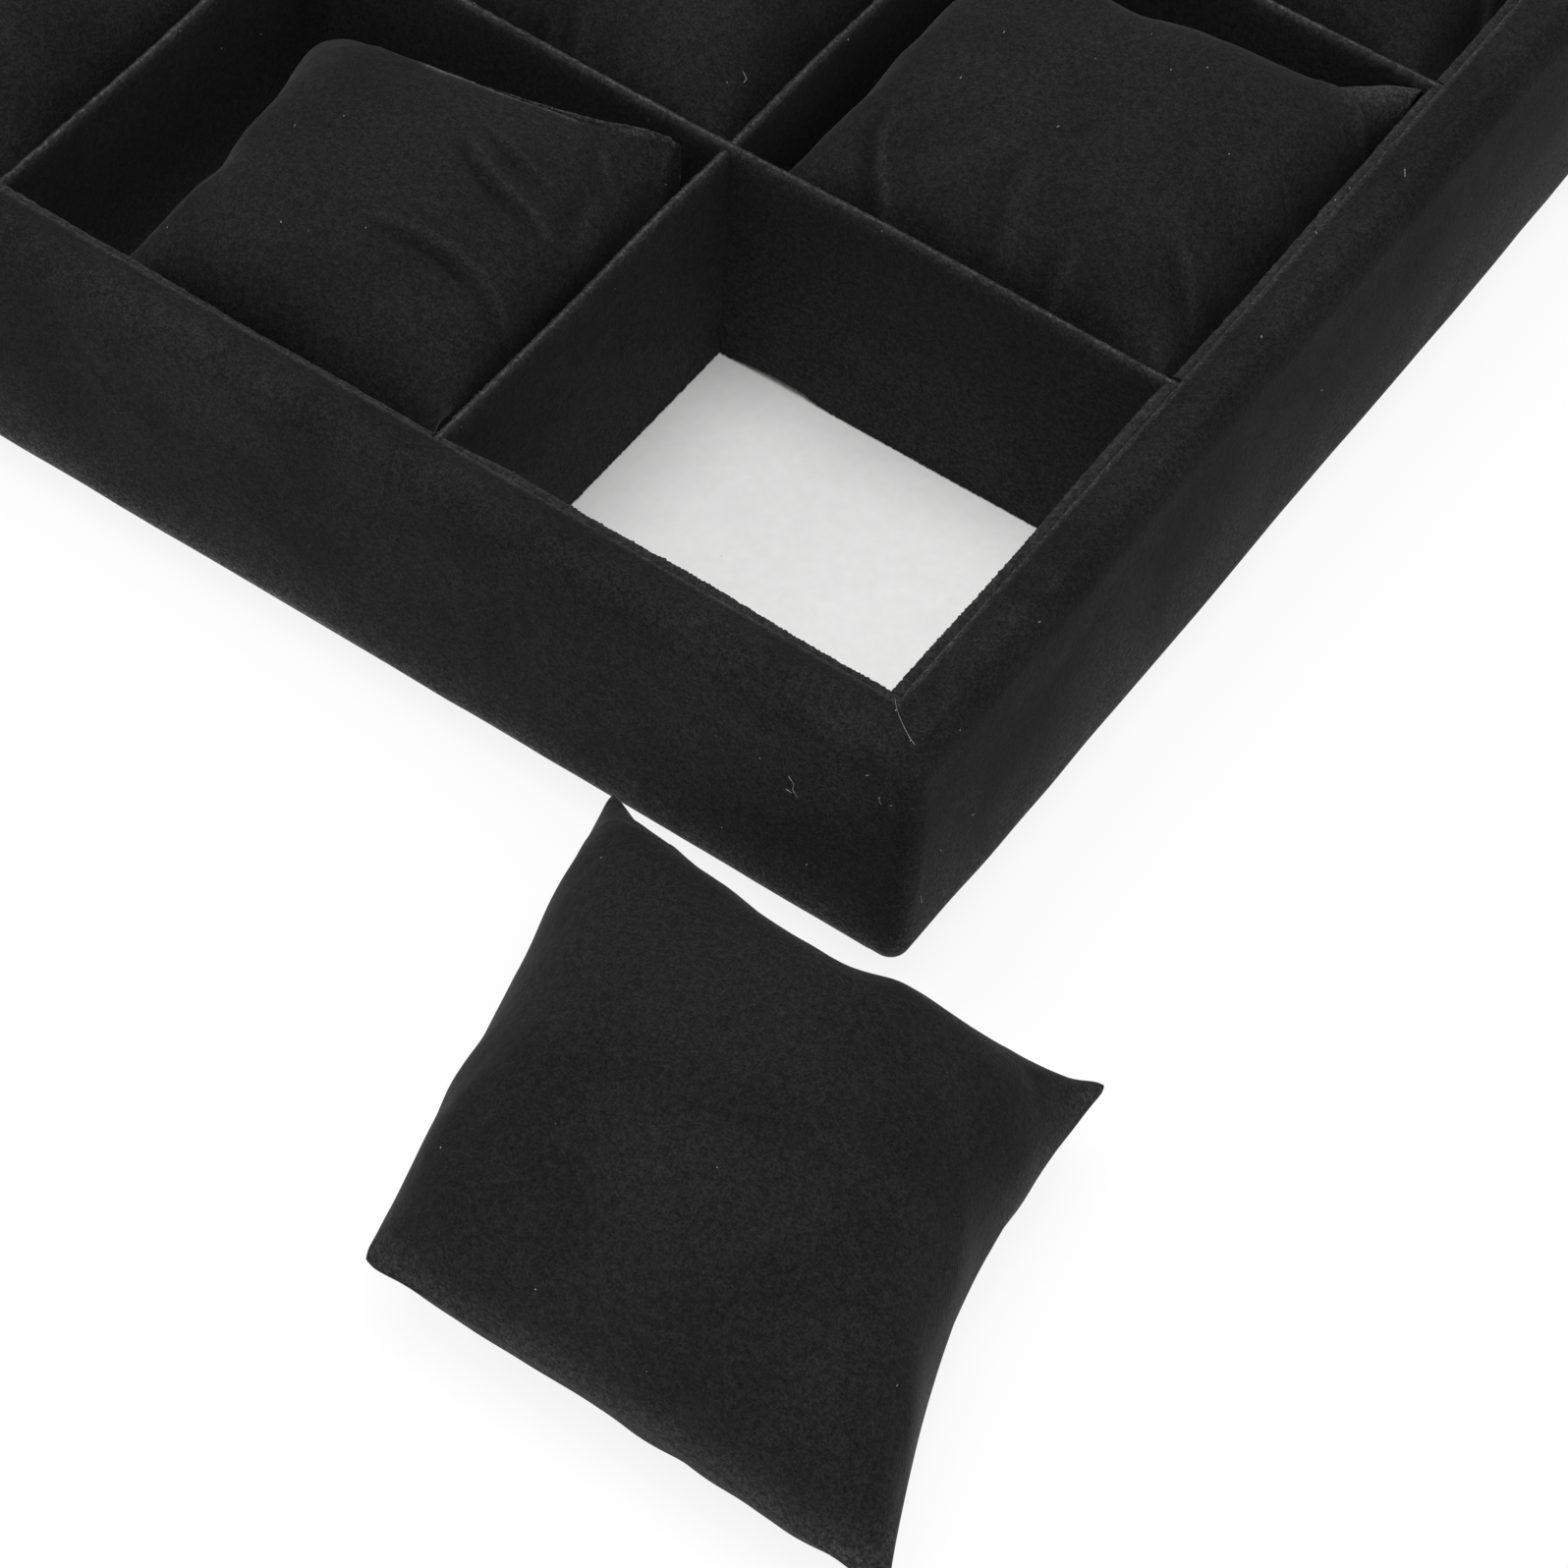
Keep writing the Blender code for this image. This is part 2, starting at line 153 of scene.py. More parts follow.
# Folds that show in the photograph: pixels along each, height, depth and width
FOLDS_FRONT_3 = (
    (((470, 150), (484, 174), (506, 202), (532, 224), (572, 262)), 0.053, 0.0013, 0.0011),
    (((492, 140), (516, 162), (540, 186), (574, 212)), 0.053, 0.0008, 0.0010),
    (((374, 236), (412, 250), (446, 266), (486, 294), (526, 340)), 0.052, 0.0014, 0.0011),
    (((606, 146), (612, 180), (624, 216)), 0.050, 0.0005, 0.0012),
    (((602, 215), (590, 245), (574, 272)), 0.048, 0.0010, 0.0018),
    (((676, 196), (681, 164), (690, 148)), 0.049, 0.0006, 0.0008),
)
FOLDS_MIDDLE_4 = (
    (((905, 112), (890, 140), (889, 170), (897, 200), (911, 232)), 0.050, 0.0014, 0.0012),
    (((962, 200), (968, 232), (985, 262)), 0.052, 0.0006, 0.0015),
    (((1045, 150), (1022, 205), (1010, 250)), 0.054, 0.0005, 0.0024),
    (((1188, 252), (1206, 284), (1214, 330)), 0.050, 0.0008, 0.0014),
    (((1090, 255), (1066, 285), (1060, 310)), 0.050, 0.0008, 0.0015),
    (((1404, 150), (1392, 120), (1370, 99), (1342, 84)), 0.050, 0.0012, 0.0012),
)
FOLDS_MIDDLE_3 = (
    (((560, 0), (552, 14), (556, 30)), 0.050, 0.0014, 0.0016),
    (((592, 0), (578, 22), (590, 50)), 0.050, 0.0011, 0.0018),
)
FOLDS_LOOSE = (
    (((640, 840), (664, 860), (692, 886)), 0.020, 0.0012, 0.0018),
    (((1080, 1085), (1062, 1110), (1050, 1140)), 0.020, 0.0008, 0.0020),
    (((392, 1296), (418, 1306), (448, 1322)), 0.018, 0.0010, 0.0018),
    (((1096, 1100), (1112, 1096), (1122, 1094)), 0.017, 0.0006, 0.0012),
)

# Far seams in view: pixels along each, their height, the stretch that follows them (blend
# from and to, ends of the line), how far back it reaches, and the start, width and amount
# of their painted glint
EDGE_FRONT_3 = (
    ((400, 54), (452, 72), (516, 96), (580, 114), (660, 131), (692, 144)),
    0.0522, (-0.85, -0.2, -0.45, 0.98), 0.10, (-0.35, 0.0009, 2.4))
EDGE_MIDDLE_4 = (
    ((1366, 90), (1452, 90)), 0.0475, (0.40, 0.66, 0.50, 1.0), 0.52, (0.50, 0.0060, 0.9))

# How each visible cushion lies: shift, turn, corner lifts, tilt of its top, sides led along
# its cell, rise of its far shoulders left and right, far seam, folds and how often its mesh
# is halved. Corner lifts run front left, front right, back right, back left.
POSES = {
    "cushion_front_3": (
        (0.0098, -0.0025), math.radians(6.5), (0.004, 0.020, 0.017, 0.001), (-0.02, 0.03),
        (None, 0.0, 0.05, None), (-0.001, 0.0), EDGE_FRONT_3, FOLDS_FRONT_3, 2),
    "cushion_middle_4": (
        (0.0002, -0.0030), math.radians(1), (0.006, 0.015, 0.022, 0.006), (0.03, 0.02),
        (0.06, 0.0, 0.05, None), (0.0, 0.0032), EDGE_MIDDLE_4, FOLDS_MIDDLE_4, 2),
    "cushion_middle_3": (
        (0.001, -0.001), math.radians(-2), (0.008, 0.010, 0.008, 0.006), (0.0, 0.0),
        (0.05, 0.03, 0.05, 0.05), (0.0, 0.0), None, FOLDS_MIDDLE_3, 1),
}

# Pale fibres and specks that cling to the velvet: pixels along each
FIBRE_RADIUS = 0.00006
STRAND_SIDES = 5
SEAM_THREAD = ((911, 711), (912, 719), (915, 729), (921, 742), (926, 751), (931, 758))
SEAM_KNOTS = ((912, 723), (927, 754))
FIBRES = (
    ((803, 790), (808, 798), (807, 804), (812, 812)),
    ((800, 803), (806, 807)),
    ((895, 811), (895, 815), (897, 819)),
    ((1430, 172), (1430, 180)),
    ((937, 912), (938, 919)),
    ((756, 73), (760, 80), (757, 84)),
)
SPECKS = (
    (907, 820), (977, 743), (883, 789), (821, 880), (957, 865), (990, 829), (1058, 633),
    (692, 180), (740, 84), (660, 122), (678, 188), (286, 226), (314, 235), (350, 118),
    (300, 128), (310, 58), (372, 232), (1115, 60), (1077, 129), (1192, 71), (1172, 35),
    (1251, 157), (978, 79), (1022, 33), (1284, 343), (1340, 237), (863, 40), (898, 235),
    (1345, 397), (612, 873), (913, 1410), (955, 1420),
)

# Places on the rails where the pile has been rubbed, and patches of painted light and shade:
# pixel, height, radius, change of tone
RUBS_AND_PAINTED_LIGHT = (
    ((440, 482), 0.054, 0.0034, 0.30), ((1045, 600), 0.054, 0.0050, -0.14),
    ((1232, 372), 0.054, 0.0060, 0.16), ((250, 352), 0.054, 0.0050, -0.12),
    # The last two are painted light and painted shade: a broad lighter patch on the front wall and
    # a darker one on the side wall by the near corner
    ((812, 806), 0.030, 0.0330, 0.62), ((985, 842), 0.030, 0.0200, -0.22),
)

# Share of light from below in the pale table, unseen and seen, and the lamps: place, aim,
# width and power
FLOOR_GLOW = (0.35, 0.86)
FLOOR_HALF = 4.0
FLOOR_DROP = 0.0001
WORLD_STRENGTH = 0.69
LAMPS = {
    "top_light": ((0.14, -0.24, 1.8), (0.1, -0.1, 0), 1.5, 20.5),
    "left_light": ((-1.1, -0.4, 1.0), (0.05, -0.05, 0), 1.0, 5.5),
    "front_light": ((1.1, -1.3, 0.6), (0.15, -0.12, 0), 0.8, 3.0),
}


def seeded(seed):
    return np.random.default_rng(seed)


def waves(points, wavelength, seed, count=18):
    """Smooth random height at each point, about -1 to 1, as a sum of plane waves."""
    random = seeded(seed)
    directions = random.normal(size=(count, 3))
    directions /= np.linalg.norm(directions, axis=1)[:, None]
    lengths = wavelength * random.uniform(0.6, 1.6, count)
    phases = random.uniform(0, 2 * math.pi, count)
    turns = points @ (directions * (2 * math.pi / lengths[:, None])).T + phases
    return np.cos(turns).sum(axis=1) * math.sqrt(2 / count) * 0.5


def smoothstep(low, high, value):
    t = np.clip((np.asarray(value, float) - low) / (high - low), 0, 1)
    return t * t * (3 - 2 * t)


def photo_ray(pixel):
    """Direction from the camera through a pixel of the photograph."""
    across, down = ((value - PHOTO_SIZE / 2) / FOCAL_PIXELS for value in pixel)
    return (CAMERA_AHEAD + CAMERA_TURN @ Vector((across, -down, 0))).normalized()


def at_height(pixel, height):
    """Where the line of sight through a pixel meets a level."""
    ray = photo_ray(pixel)
    return CAMERA_PLACE + ray * ((height - CAMERA_PLACE.z) / ray.z)


def new_mesh(name, points, faces):
    mesh = bpy.data.meshes.new(name)
    mesh.from_pydata([tuple(p) for p in points], [], faces)
    return mesh


def new_object(name, data):
    item = bpy.data.objects.new(name, data)
    bpy.context.scene.collection.objects.link(item)
    return item


def vertex_places(mesh):
    places = np.zeros(len(mesh.vertices) * 3, np.float32)
    mesh.vertices.foreach_get("co", places)
    return places.reshape(-1, 3).astype(float)


def add_piece(name, points, faces, material, open_pile_and_painted_light=None):
    """Mesh object from points and faces, shaded smooth, riding on the tray."""
    mesh = new_mesh(name, points, faces)
    bm = bmesh.new()
    bm.from_mesh(mesh)
    bmesh.ops.recalc_face_normals(bm, faces=bm.faces)
    if bm.calc_volume(signed=True) < 0:
        bmesh.ops.reverse_faces(bm, faces=bm.faces)
    bm.to_mesh(mesh)
    bm.free()
    mesh.shade_smooth()
    mesh.materials.append(material)
    # per-point painted light and shade, partly open pile, read by the velvet's tone
    if open_pile_and_painted_light is not None:
        mesh.attributes.new("open_pile_and_painted_light", "FLOAT", "POINT").data.foreach_set("value", open_pile_and_painted_light)
    item = new_object(name, mesh)
    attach(item, "root")
    return item


def loop_faces(rows, ring, closed=False, first=0):
    """Quads between rows of equal rings of points, joined round or capped at both ends."""
    faces = []
    for i in range(rows if closed else rows - 1):
        here, there = first + i * ring, first + (i + 1) % rows * ring
        for j in range(ring):
            after = (j + 1) % ring
            faces.append((here + j, there + j, there + after, here + after))
    if not closed:
        last = first + (rows - 1) * ring
        faces.append(tuple(range(first, first + ring)))
        faces.append(tuple(reversed(range(last, last + ring))))
    return faces


# Materials


def add_node(tree, kind, inputs=None, **settings):
    """Shader node with its settings, and its inputs given as values or as other outputs."""
    item = tree.nodes.new(kind)
    for key, value in settings.items():
        setattr(item, key, value)
    for key, value in (inputs or {}).items():
        if isinstance(value, bpy.types.NodeSocket):
            tree.links.new(value, item.inputs[key])
        else:
            item.inputs[key].default_value = value
    return item


def math_node(tree, operation, first, second=0.0, third=0.0):
    inputs = {0: first, 1: second, 2: third}
    return add_node(tree, "ShaderNodeMath", inputs, operation=operation).outputs[0]


def product(tree, value, *others):
    for other in others:
        value = math_node(tree, "MULTIPLY", value, other)
    return value


def noise_node(tree, place, scale, detail=2.0, roughness=0.55, distortion=0.0):
    inputs = {"Vector": place, "Scale": scale, "Detail": detail,
              "Roughness": roughness, "Distortion": distortion}
    return add_node(tree, "ShaderNodeTexNoise", inputs).outputs["Fac"]


def ramp_node(tree, value, low, high, out_low=0.0, out_high=1.0):
    inputs = {"Value": value, "From Min": low, "From Max": high,
              "To Min": out_low, "To Max": out_high}
    item = add_node(tree, "ShaderNodeMapRange", inputs, interpolation_type="SMOOTHSTEP")
    return item.outputs["Result"]


def mix_colors(tree, factor, first, second):
    inputs = {0: factor, 6: first, 7: second}
    return add_node(tree, "ShaderNodeMix", inputs, data_type="RGBA").outputs[2]


def new_material(name):
    """Material with its node tree and the object's own coordinates."""
    material = bpy.data.materials.new(name)
    material.use_nodes = True
    tree = material.node_tree
    place = add_node(tree, "ShaderNodeTexCoord").outputs["Object"]
    return material, tree, place


def finish(material, color, values, height=None, strength=0.0, distance=0.0002):
    """Give a material's shader its colour, its plain values and a bump."""
    tree = material.node_tree
    shader = tree.nodes["Principled BSDF"]
    tree.links.new(color, shader.inputs["Base Color"])
    for key, value in values.items():
        shader.inputs[key].default_value = value
    if height:
        inputs = {"Height": height, "Strength": strength, "Distance": distance}
        bump = add_node(tree, "ShaderNodeBump", inputs)
        tree.links.new(bump.outputs["Normal"], shader.inputs["Normal"])
    return material


def lint_mask(tree, place, scale, radius, share):
    """Small round specks, scattered at random: 1 on a speck, 0 elsewhere."""
    cells = add_node(tree, "ShaderNodeTexVoronoi", {"Vector": place, "Scale": scale}).outputs
    spread = add_node(tree, "ShaderNodeSeparateColor", {"Color": cells["Color"]}).outputs
    chosen = math_node(tree, "LESS_THAN", spread["Red"], share)
    size = product(tree, spread["Green"], radius * scale)
    return product(tree, math_node(tree, "LESS_THAN", cells["Distance"], size), chosen)


def velvet_material(name, tone, sheen, painted_light_lift, patch_scale, patch, lint, contrast, marks=()):
    """Short black pile: fine grain, mottling, brushed patches, rubbed marks and white lint.

    The mesh attribute open_pile_and_painted_light lightens open pile and paints highlights, glow
    and bounce light, or paints shade where it is negative, scaled by painted_light_lift. patch is
    how strong brushed patches are, lint the share of lint, contrast holds the darkest and lightest
    grain, and marks are rubbed places and patches of painted light and shade.
    """
    material, tree, place = new_material(name)
    grain = noise_node(tree, place, 2600, 3, 0.7)
    mottle = noise_node(tree, place, 980, 3, 0.65)
    cloud = noise_node(tree, place, patch_scale, 4, 0.6, 0.6)
    light = product(tree, ramp_node(tree, grain, 0.32, 0.68, *contrast),
                    ramp_node(tree, mottle, 0.3, 0.7, 0.72, 1.32),
                    ramp_node(tree, cloud, 0.33, 0.68, 1 - patch, 1 + patch))
    edge = add_node(tree, "ShaderNodeAttribute", attribute_name="open_pile_and_painted_light").outputs["Fac"]
    tuft = ramp_node(tree, noise_node(tree, place, 1500), 0.35, 0.65, 0.45, 1.45)
    painted_pile_light = product(tree, edge, tuft, painted_light_lift)
    # painted highlights, glow and bounce light raise the tone, painted shade lowers it
    light = product(tree, light, math_node(tree, "ADD", painted_pile_light, 1.0))
    # rubbed places, and two patches of painted light and painted shade near the front corner
    for pixel, level, radius, change in marks:
        away = add_node(tree, "ShaderNodeVectorMath", {0: place, 1: at_height(pixel, level)},
                        operation="DISTANCE").outputs["Value"]
        light = product(tree, light, ramp_node(tree, away, radius * 0.3, radius, 1 + change))
    scaled = add_node(tree, "ShaderNodeVectorMath", {0: (tone, tone, tone), "Scale": light},
                      operation="SCALE")
    specks = lint_mask(tree, place, 215, 0.00015, lint)
    color = mix_colors(tree, specks, scaled.outputs[0], (0.36, 0.36, 0.36, 1))
    height = math_node(tree, "ADD", grain, product(tree, mottle, 0.7))
    values = {"Roughness": 0.95, "Specular IOR Level": 0.12, "Sheen Weight": sheen,
              "Sheen Roughness": 0.2, "Sheen Tint": (0.9, 0.9, 0.9, 1)}
    return finish(material, color, values, height, 0.35, 0.0004)


def card_material():
    """Matt white card with faint mottling and a few dark specks."""
    material, tree, place = new_material("white_card")
    mottle = ramp_node(tree, noise_node(tree, place, 420, 4, 0.6), 0.25, 0.75)
    paper = mix_colors(tree, mottle, (0.84, 0.84, 0.835, 1), (0.88, 0.88, 0.875, 1))
    specks = lint_mask(tree, place, 260, 0.00016, 0.8)
    color = mix_colors(tree, specks, paper, (0.42, 0.41, 0.4, 1))
    values = {"Roughness": 0.7, "Specular IOR Level": 0.25}
    return finish(material, color, values, noise_node(tree, place, 1500, 3), 0.08)


def fibre_material(name, fibre, cloud_scale, fibre_share, tones, strength, roughness):
    """Pressed fibres in two tones. roughness holds one value, or two for a rubbed surface."""
    material, tree, place = new_material(name)
    fine = noise_node(tree, place, *fibre)
    cloud = noise_node(tree, place, cloud_scale, 3)
    tone = math_node(tree, "ADD", product(tree, fine, fibre_share),
                     product(tree, cloud, 1 - fibre_share))
    color = mix_colors(tree, ramp_node(tree, tone, 0.35, 0.65), *tones)
    if len(roughness) == 2:
        rough = ramp_node(tree, cloud, 0.3, 0.7, *roughness)
        tree.links.new(rough, tree.nodes["Principled BSDF"].inputs["Roughness"])
    return finish(material, color, {"Roughness": roughness[0]}, fine, strength)


def thread_material():
    """Pale cotton fibres that cling to the pile."""
    material, tree, place = new_material("pale_fibre")
    twist = ramp_node(tree, noise_node(tree, place, 3000), 0.3, 0.7)
    tone = mix_colors(tree, twist, (0.08, 0.078, 0.075, 1), (0.34, 0.33, 0.32, 1))
    return finish(material, tone, {"Roughness": 0.9})


RAIL_VELVET = velvet_material(
    "black_velvet", 0.0090, 0.013, 3.4, 34, 0.24, 0.3, (0.45, 1.6), RUBS_AND_PAINTED_LIGHT)
# Board velvet has a lighter tone than the rail velvet, painted light that makes up for the shade
# deep in the cells
BOARD_VELVET_PAINTED_LIGHTER = velvet_material("board_velvet_painted_lighter", 0.0112, 0.04, 2.0, 26, 0.12, 0.25, (0.55, 1.45))
CUSHION_VELVET = velvet_material("cushion_velvet", 0.0091, 0.11, 3.0, 30, 0.18, 0.35, (0.5, 1.5))
CARD = card_material()
PAPER = fibre_material("black_paper", (900, 4, 0.7), 35, 0.5,
                       ((0.009, 0.009, 0.009, 1), (0.02, 0.02, 0.02, 1)), 0.15, (0.62, 0.82))
FIBREBOARD = fibre_material("fibreboard", (1400, 4, 0.7, 1.2), 120, 0.6,
                            ((0.25, 0.15, 0.08, 1), (0.42, 0.29, 0.17, 1)), 0.2, (0.85,))
PALE_FIBRE = thread_material()


def dress_cad_nodes():
    """Finish on the solids that keep their own mesh."""
    finishes = {"base_board": PAPER, "floor_card": CARD}
    finishes.update({f"rail_core_{side}": FIBREBOARD for side in SIDES})
    for name, material in finishes.items():
        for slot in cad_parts[name].material_slots:
            slot.material = material


# Rails


def rounded_section(corners, spacing):
    """Points and outward directions along a clockwise section with rounded corners."""
    arcs = []
    for index, (x, y, radius) in enumerate(corners):
        corner = Vector((x, y))
        back = (Vector(corners[index - 1][:2]) - corner).normalized()
        ahead = (Vector(corners[(index + 1) % len(corners)][:2]) - corner).normalized()
        arriving = Vector((back.y, -back.x))
        if radius <= 0:
            arcs.append([(corner, arriving), (corner, Vector((-ahead.y, ahead.x)))])
            continue
        half = back.angle(ahead) / 2
        centre = corner + (back + ahead).normalized() * (radius / math.sin(half))
        turn = math.pi - 2 * half
        steps = max(3, round(radius * turn / (spacing * 0.8)))
        spokes = [Matrix.Rotation(-turn * step / steps, 2) @ arriving
                  for step in range(steps + 1)]
        arcs.append([(centre + spoke * radius, spoke) for spoke in spokes])
    points = []
    for arc, following in zip(arcs, arcs[1:] + arcs[:1]):
        start, direction = arc[-1]
        end = following[0][0]
        steps = max(1, round((end - start).length / spacing))
        points += arc
        points += [(start.lerp(end, step / steps), direction) for step in range(1, steps)]
    return points


def rail_corners(inset=0.0):
    """Rail section, clockwise from its lower inner corner, moved inwards by an inset."""
    rise = math.tan(RAIL_TOP_SLOPE)
    edge = RAIL_EDGE - inset / math.cos(RAIL_TOP_SLOPE)
    top_end = RAIL_TOP_WIDTH - inset
    return [
        (inset, RAIL_LOW + inset, 0.0),
        (inset, edge + inset * rise, max(RAIL_INNER_RADIUS - inset, 0.0004)),
        (top_end, edge + top_end * rise, RAIL_CROWN_RADIUS - inset),
        (RAIL_FOOT_WIDTH - inset, RAIL_LOW + inset, RAIL_FOOT_RADIUS - inset),
    ]


def cover_section():
    """Closed loop of the wrapped velvet: its outside, then its inside, slit underneath."""
    outside = rounded_section(rail_corners(), SECTION_SPACING)
    inside = rounded_section(rail_corners(COVER_THICKNESS), SECTION_SPACING * 4)
    slit_end = COVER_THICKNESS + COVER_SLIT
    outer = [(p, n, 1.0) for p, n in outside if p.y > RAIL_LOW + 1e-6 or p.x > slit_end + 2e-4
             or p.x < 1e-6]
    down = Vector((0, -1))
    inner_low = RAIL_LOW + COVER_THICKNESS
    lip = [(Vector((slit_end, level)), down, 0.0) for level in (RAIL_LOW, inner_low)]
    inner = [(p, n, 0.0) for p, n in reversed(inside) if p.y > inner_low + 1e-6]
    return outer + lip + inner + [(Vector((COVER_THICKNESS, RAIL_LOW)), down, 0.0)]


def straight_shares(length):
    """Places along a straight, from -1 to 1, closer together towards its ends."""
    from_end = np.array([0, 0.0004, 0.0009, 0.0015, 0.0023, 0.0033, 0.0045, 0.006])
    inner = length - from_end[-1]
    middle = np.linspace(-inner, inner, round(2 * inner / STATION_SPACING) + 1)
    ends = length - from_end[:-1]
    return np.concatenate([-ends, middle, ends[::-1]]) / length


def ring_stations(out, radius):
    """Points and outward directions round the tray, at a distance out from the inner faces."""
    points, directions = [], []
    for side in range(4):
        turn = side * math.pi / 2
        half, reach = (INNER_Y, INNER_X) if side % 2 else (INNER_X, INNER_Y)
        along = half + out - radius
        away = reach + out
        local = [(share * along, -away, 0.0) for share in straight_shares(half)]
        for step in range(1, CORNER_STEPS):
            angle = math.pi / 2 * step / CORNER_STEPS
            local.append((along + radius * math.sin(angle),
                          -away + radius * (1 - math.cos(angle)), angle))
        for x, y, angle in local:
            points.append((x * math.cos(turn) - y * math.sin(turn),
                           x * math.sin(turn) + y * math.cos(turn)))
            facing = turn + angle - math.pi / 2
            directions.append((math.cos(facing), math.sin(facing)))
    return np.array(points), np.array(directions)


def mitre_dip(points, out):
    """Depth of the folded seam across each top corner, at points with a distance out."""
    off = np.abs((np.abs(points[:, 0]) - INNER_X) - (np.abs(points[:, 1]) - INNER_Y))
    off /= math.sqrt(2)
    fade = 1 - smoothstep(MITRE_REACH * 0.6, MITRE_REACH * 1.1, out)
    return MITRE_DEPTH * np.exp(-(off / MITRE_WIDTH) ** 2) * fade


def make_rail_velvet():
    """Velvet over the padded rails: one ring with a folded seam at each top corner."""
    columns = []
    for (out, height), direction, outer in cover_section():
        radius = max(0.0004, RAIL_CORNER_RADIUS * out / RAIL_FOOT_WIDTH)
        lean = smoothstep(LINER_TOP + 0.0001, RAIL_EDGE, height) * LIP_REACH
        lean *= 1 - smoothstep(0.0, LIP_WIDTH, out) if outer else 0
        places, facings = ring_stations(out - lean, radius)
        points = np.column_stack([places, np.full(len(places), height)])
        if outer:
            push = np.column_stack([facings * direction.x, np.full(len(places), direction.y)])
            soft = smoothstep(0.0004, 0.0035, out)
            soft *= smoothstep(RAIL_LOW + 0.001, RAIL_LOW + 0.006, height)
            shift = soft * PADDING_DEPTH * waves(points, PADDING_WAVE, 3)
            shift += (0.35 + 0.65 * soft) * RIPPLE_DEPTH * waves(points, RIPPLE_WAVE, 5)
            share = min(max((height - RAIL_LOW) / (RAIL_EDGE - RAIL_LOW), 0), 1)
            wall = smoothstep(0.006, 0.0095, out)
            shift += WALL_BULGE * wall * math.sin(math.pi * share)
            if height > RAIL_EDGE - 0.004:
                shift -= mitre_dip(points, out)
            points += push * shift[:, None]
        columns.append(points)
    grid = np.stack(columns, axis=1)
    faces = loop_faces(*grid.shape[:2], closed=True)
    flat = grid.reshape(-1, 3)
    out_x, out_y = (np.abs(flat[:, :2]) - (INNER_X, INNER_Y)).T
    out, high = np.maximum(out_x, out_y), flat[:, 2]
    # Painted highlight along the inner lip of the rails, partly open pile at that edge
    painted_light_and_pile = np.exp(-((out + LIP_REACH - 0.0004) / 0.00045) ** 2)
    painted_light_and_pile *= smoothstep(RAIL_EDGE - 0.0014, RAIL_EDGE - 0.0004, high)
    # Painted glow along the foot of the rails, brightest at the bottom and fading upwards, slower
    # along the side walls
    above = np.maximum(high - FOOT_GLOW_LEVEL, 0)
    sideways = smoothstep(-0.004, 0.004, out_x - out_y)
    fade = FOOT_GLOW_BAND[1] + (FOOT_GLOW_BAND[2] - FOOT_GLOW_BAND[1]) * sideways
    foot_glow = FOOT_GLOW_RIM[0] * np.exp(-above / FOOT_GLOW_RIM[1]) + FOOT_GLOW_BAND[0] * np.exp(-above / fade)
    painted_light_and_pile = np.maximum(painted_light_and_pile, foot_glow * smoothstep(0.004, 0.008, out))
    # Painted shade: the side walls darker towards their top
    painted_light_and_pile -= WALL_SHADE * sideways * smoothstep(0.022, 0.040, high) * (out > 0.007)
    item = add_piece("rail_velvet", flat, faces, RAIL_VELVET, painted_light_and_pile)
    item.data.set_sharp_from_angle(angle=math.radians(60))
    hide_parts(*(f"rail_cover_{side}" for side in SIDES))


# Liners and dividers


def spaced(start, end, fine_zones):
    """Places from start to end, close together inside the fine zones."""
    places = [start]
    while places[-1] < end:
        fine = any(low <= places[-1] <= high for low, high in fine_zones)
        places.append(places[-1] + (FINE_SPACING if fine else COARSE_SPACING))
    return places[:-1] + [end]


def board_columns(reach, slots, fine_zones):
    """Stations along a board, with a close pair at each side of every slot."""
    breaks = sorted(side * HALF_SLOT + line for line in slots for side in (-1, 1))
    places = []
    start = -reach
    for place in breaks + [reach]:
        places += spaced(start, place - (SLOT_EDGE if place < reach else 0), fine_zones)
        start = place
    return places


def in_slot(x, slots):
    return any(abs(x - line) < HALF_SLOT - 1e-7 for line in slots)


def board_section(low, high, thickness, edge_radius):
    """One loop across a board: up its front, over a rounded top, down its back."""
    half = thickness / 2
    side = high - edge_radius - low
    levels = [low + s for s in (0.0, 0.0003, 0.0006, 0.0012, 0.006, 0.014, 0.026)
              if s < side - 0.005]
    levels += [high - edge_radius - s for s in (0.0042, 0.0026, 0.0014, 0.0006)]
    loop = [(-half, z, -1.0, 0.0) for z in levels]
    for step in range(BOARD_TOP_STEPS + 1):
        angle = math.pi * (1 - step / BOARD_TOP_STEPS)
        facing, rise = math.cos(angle), math.sin(angle)
        loop.append((facing * half, high - edge_radius + edge_radius * rise, facing, rise))
    return loop + [(half, z, 1.0, 0.0) for z in reversed(levels)]


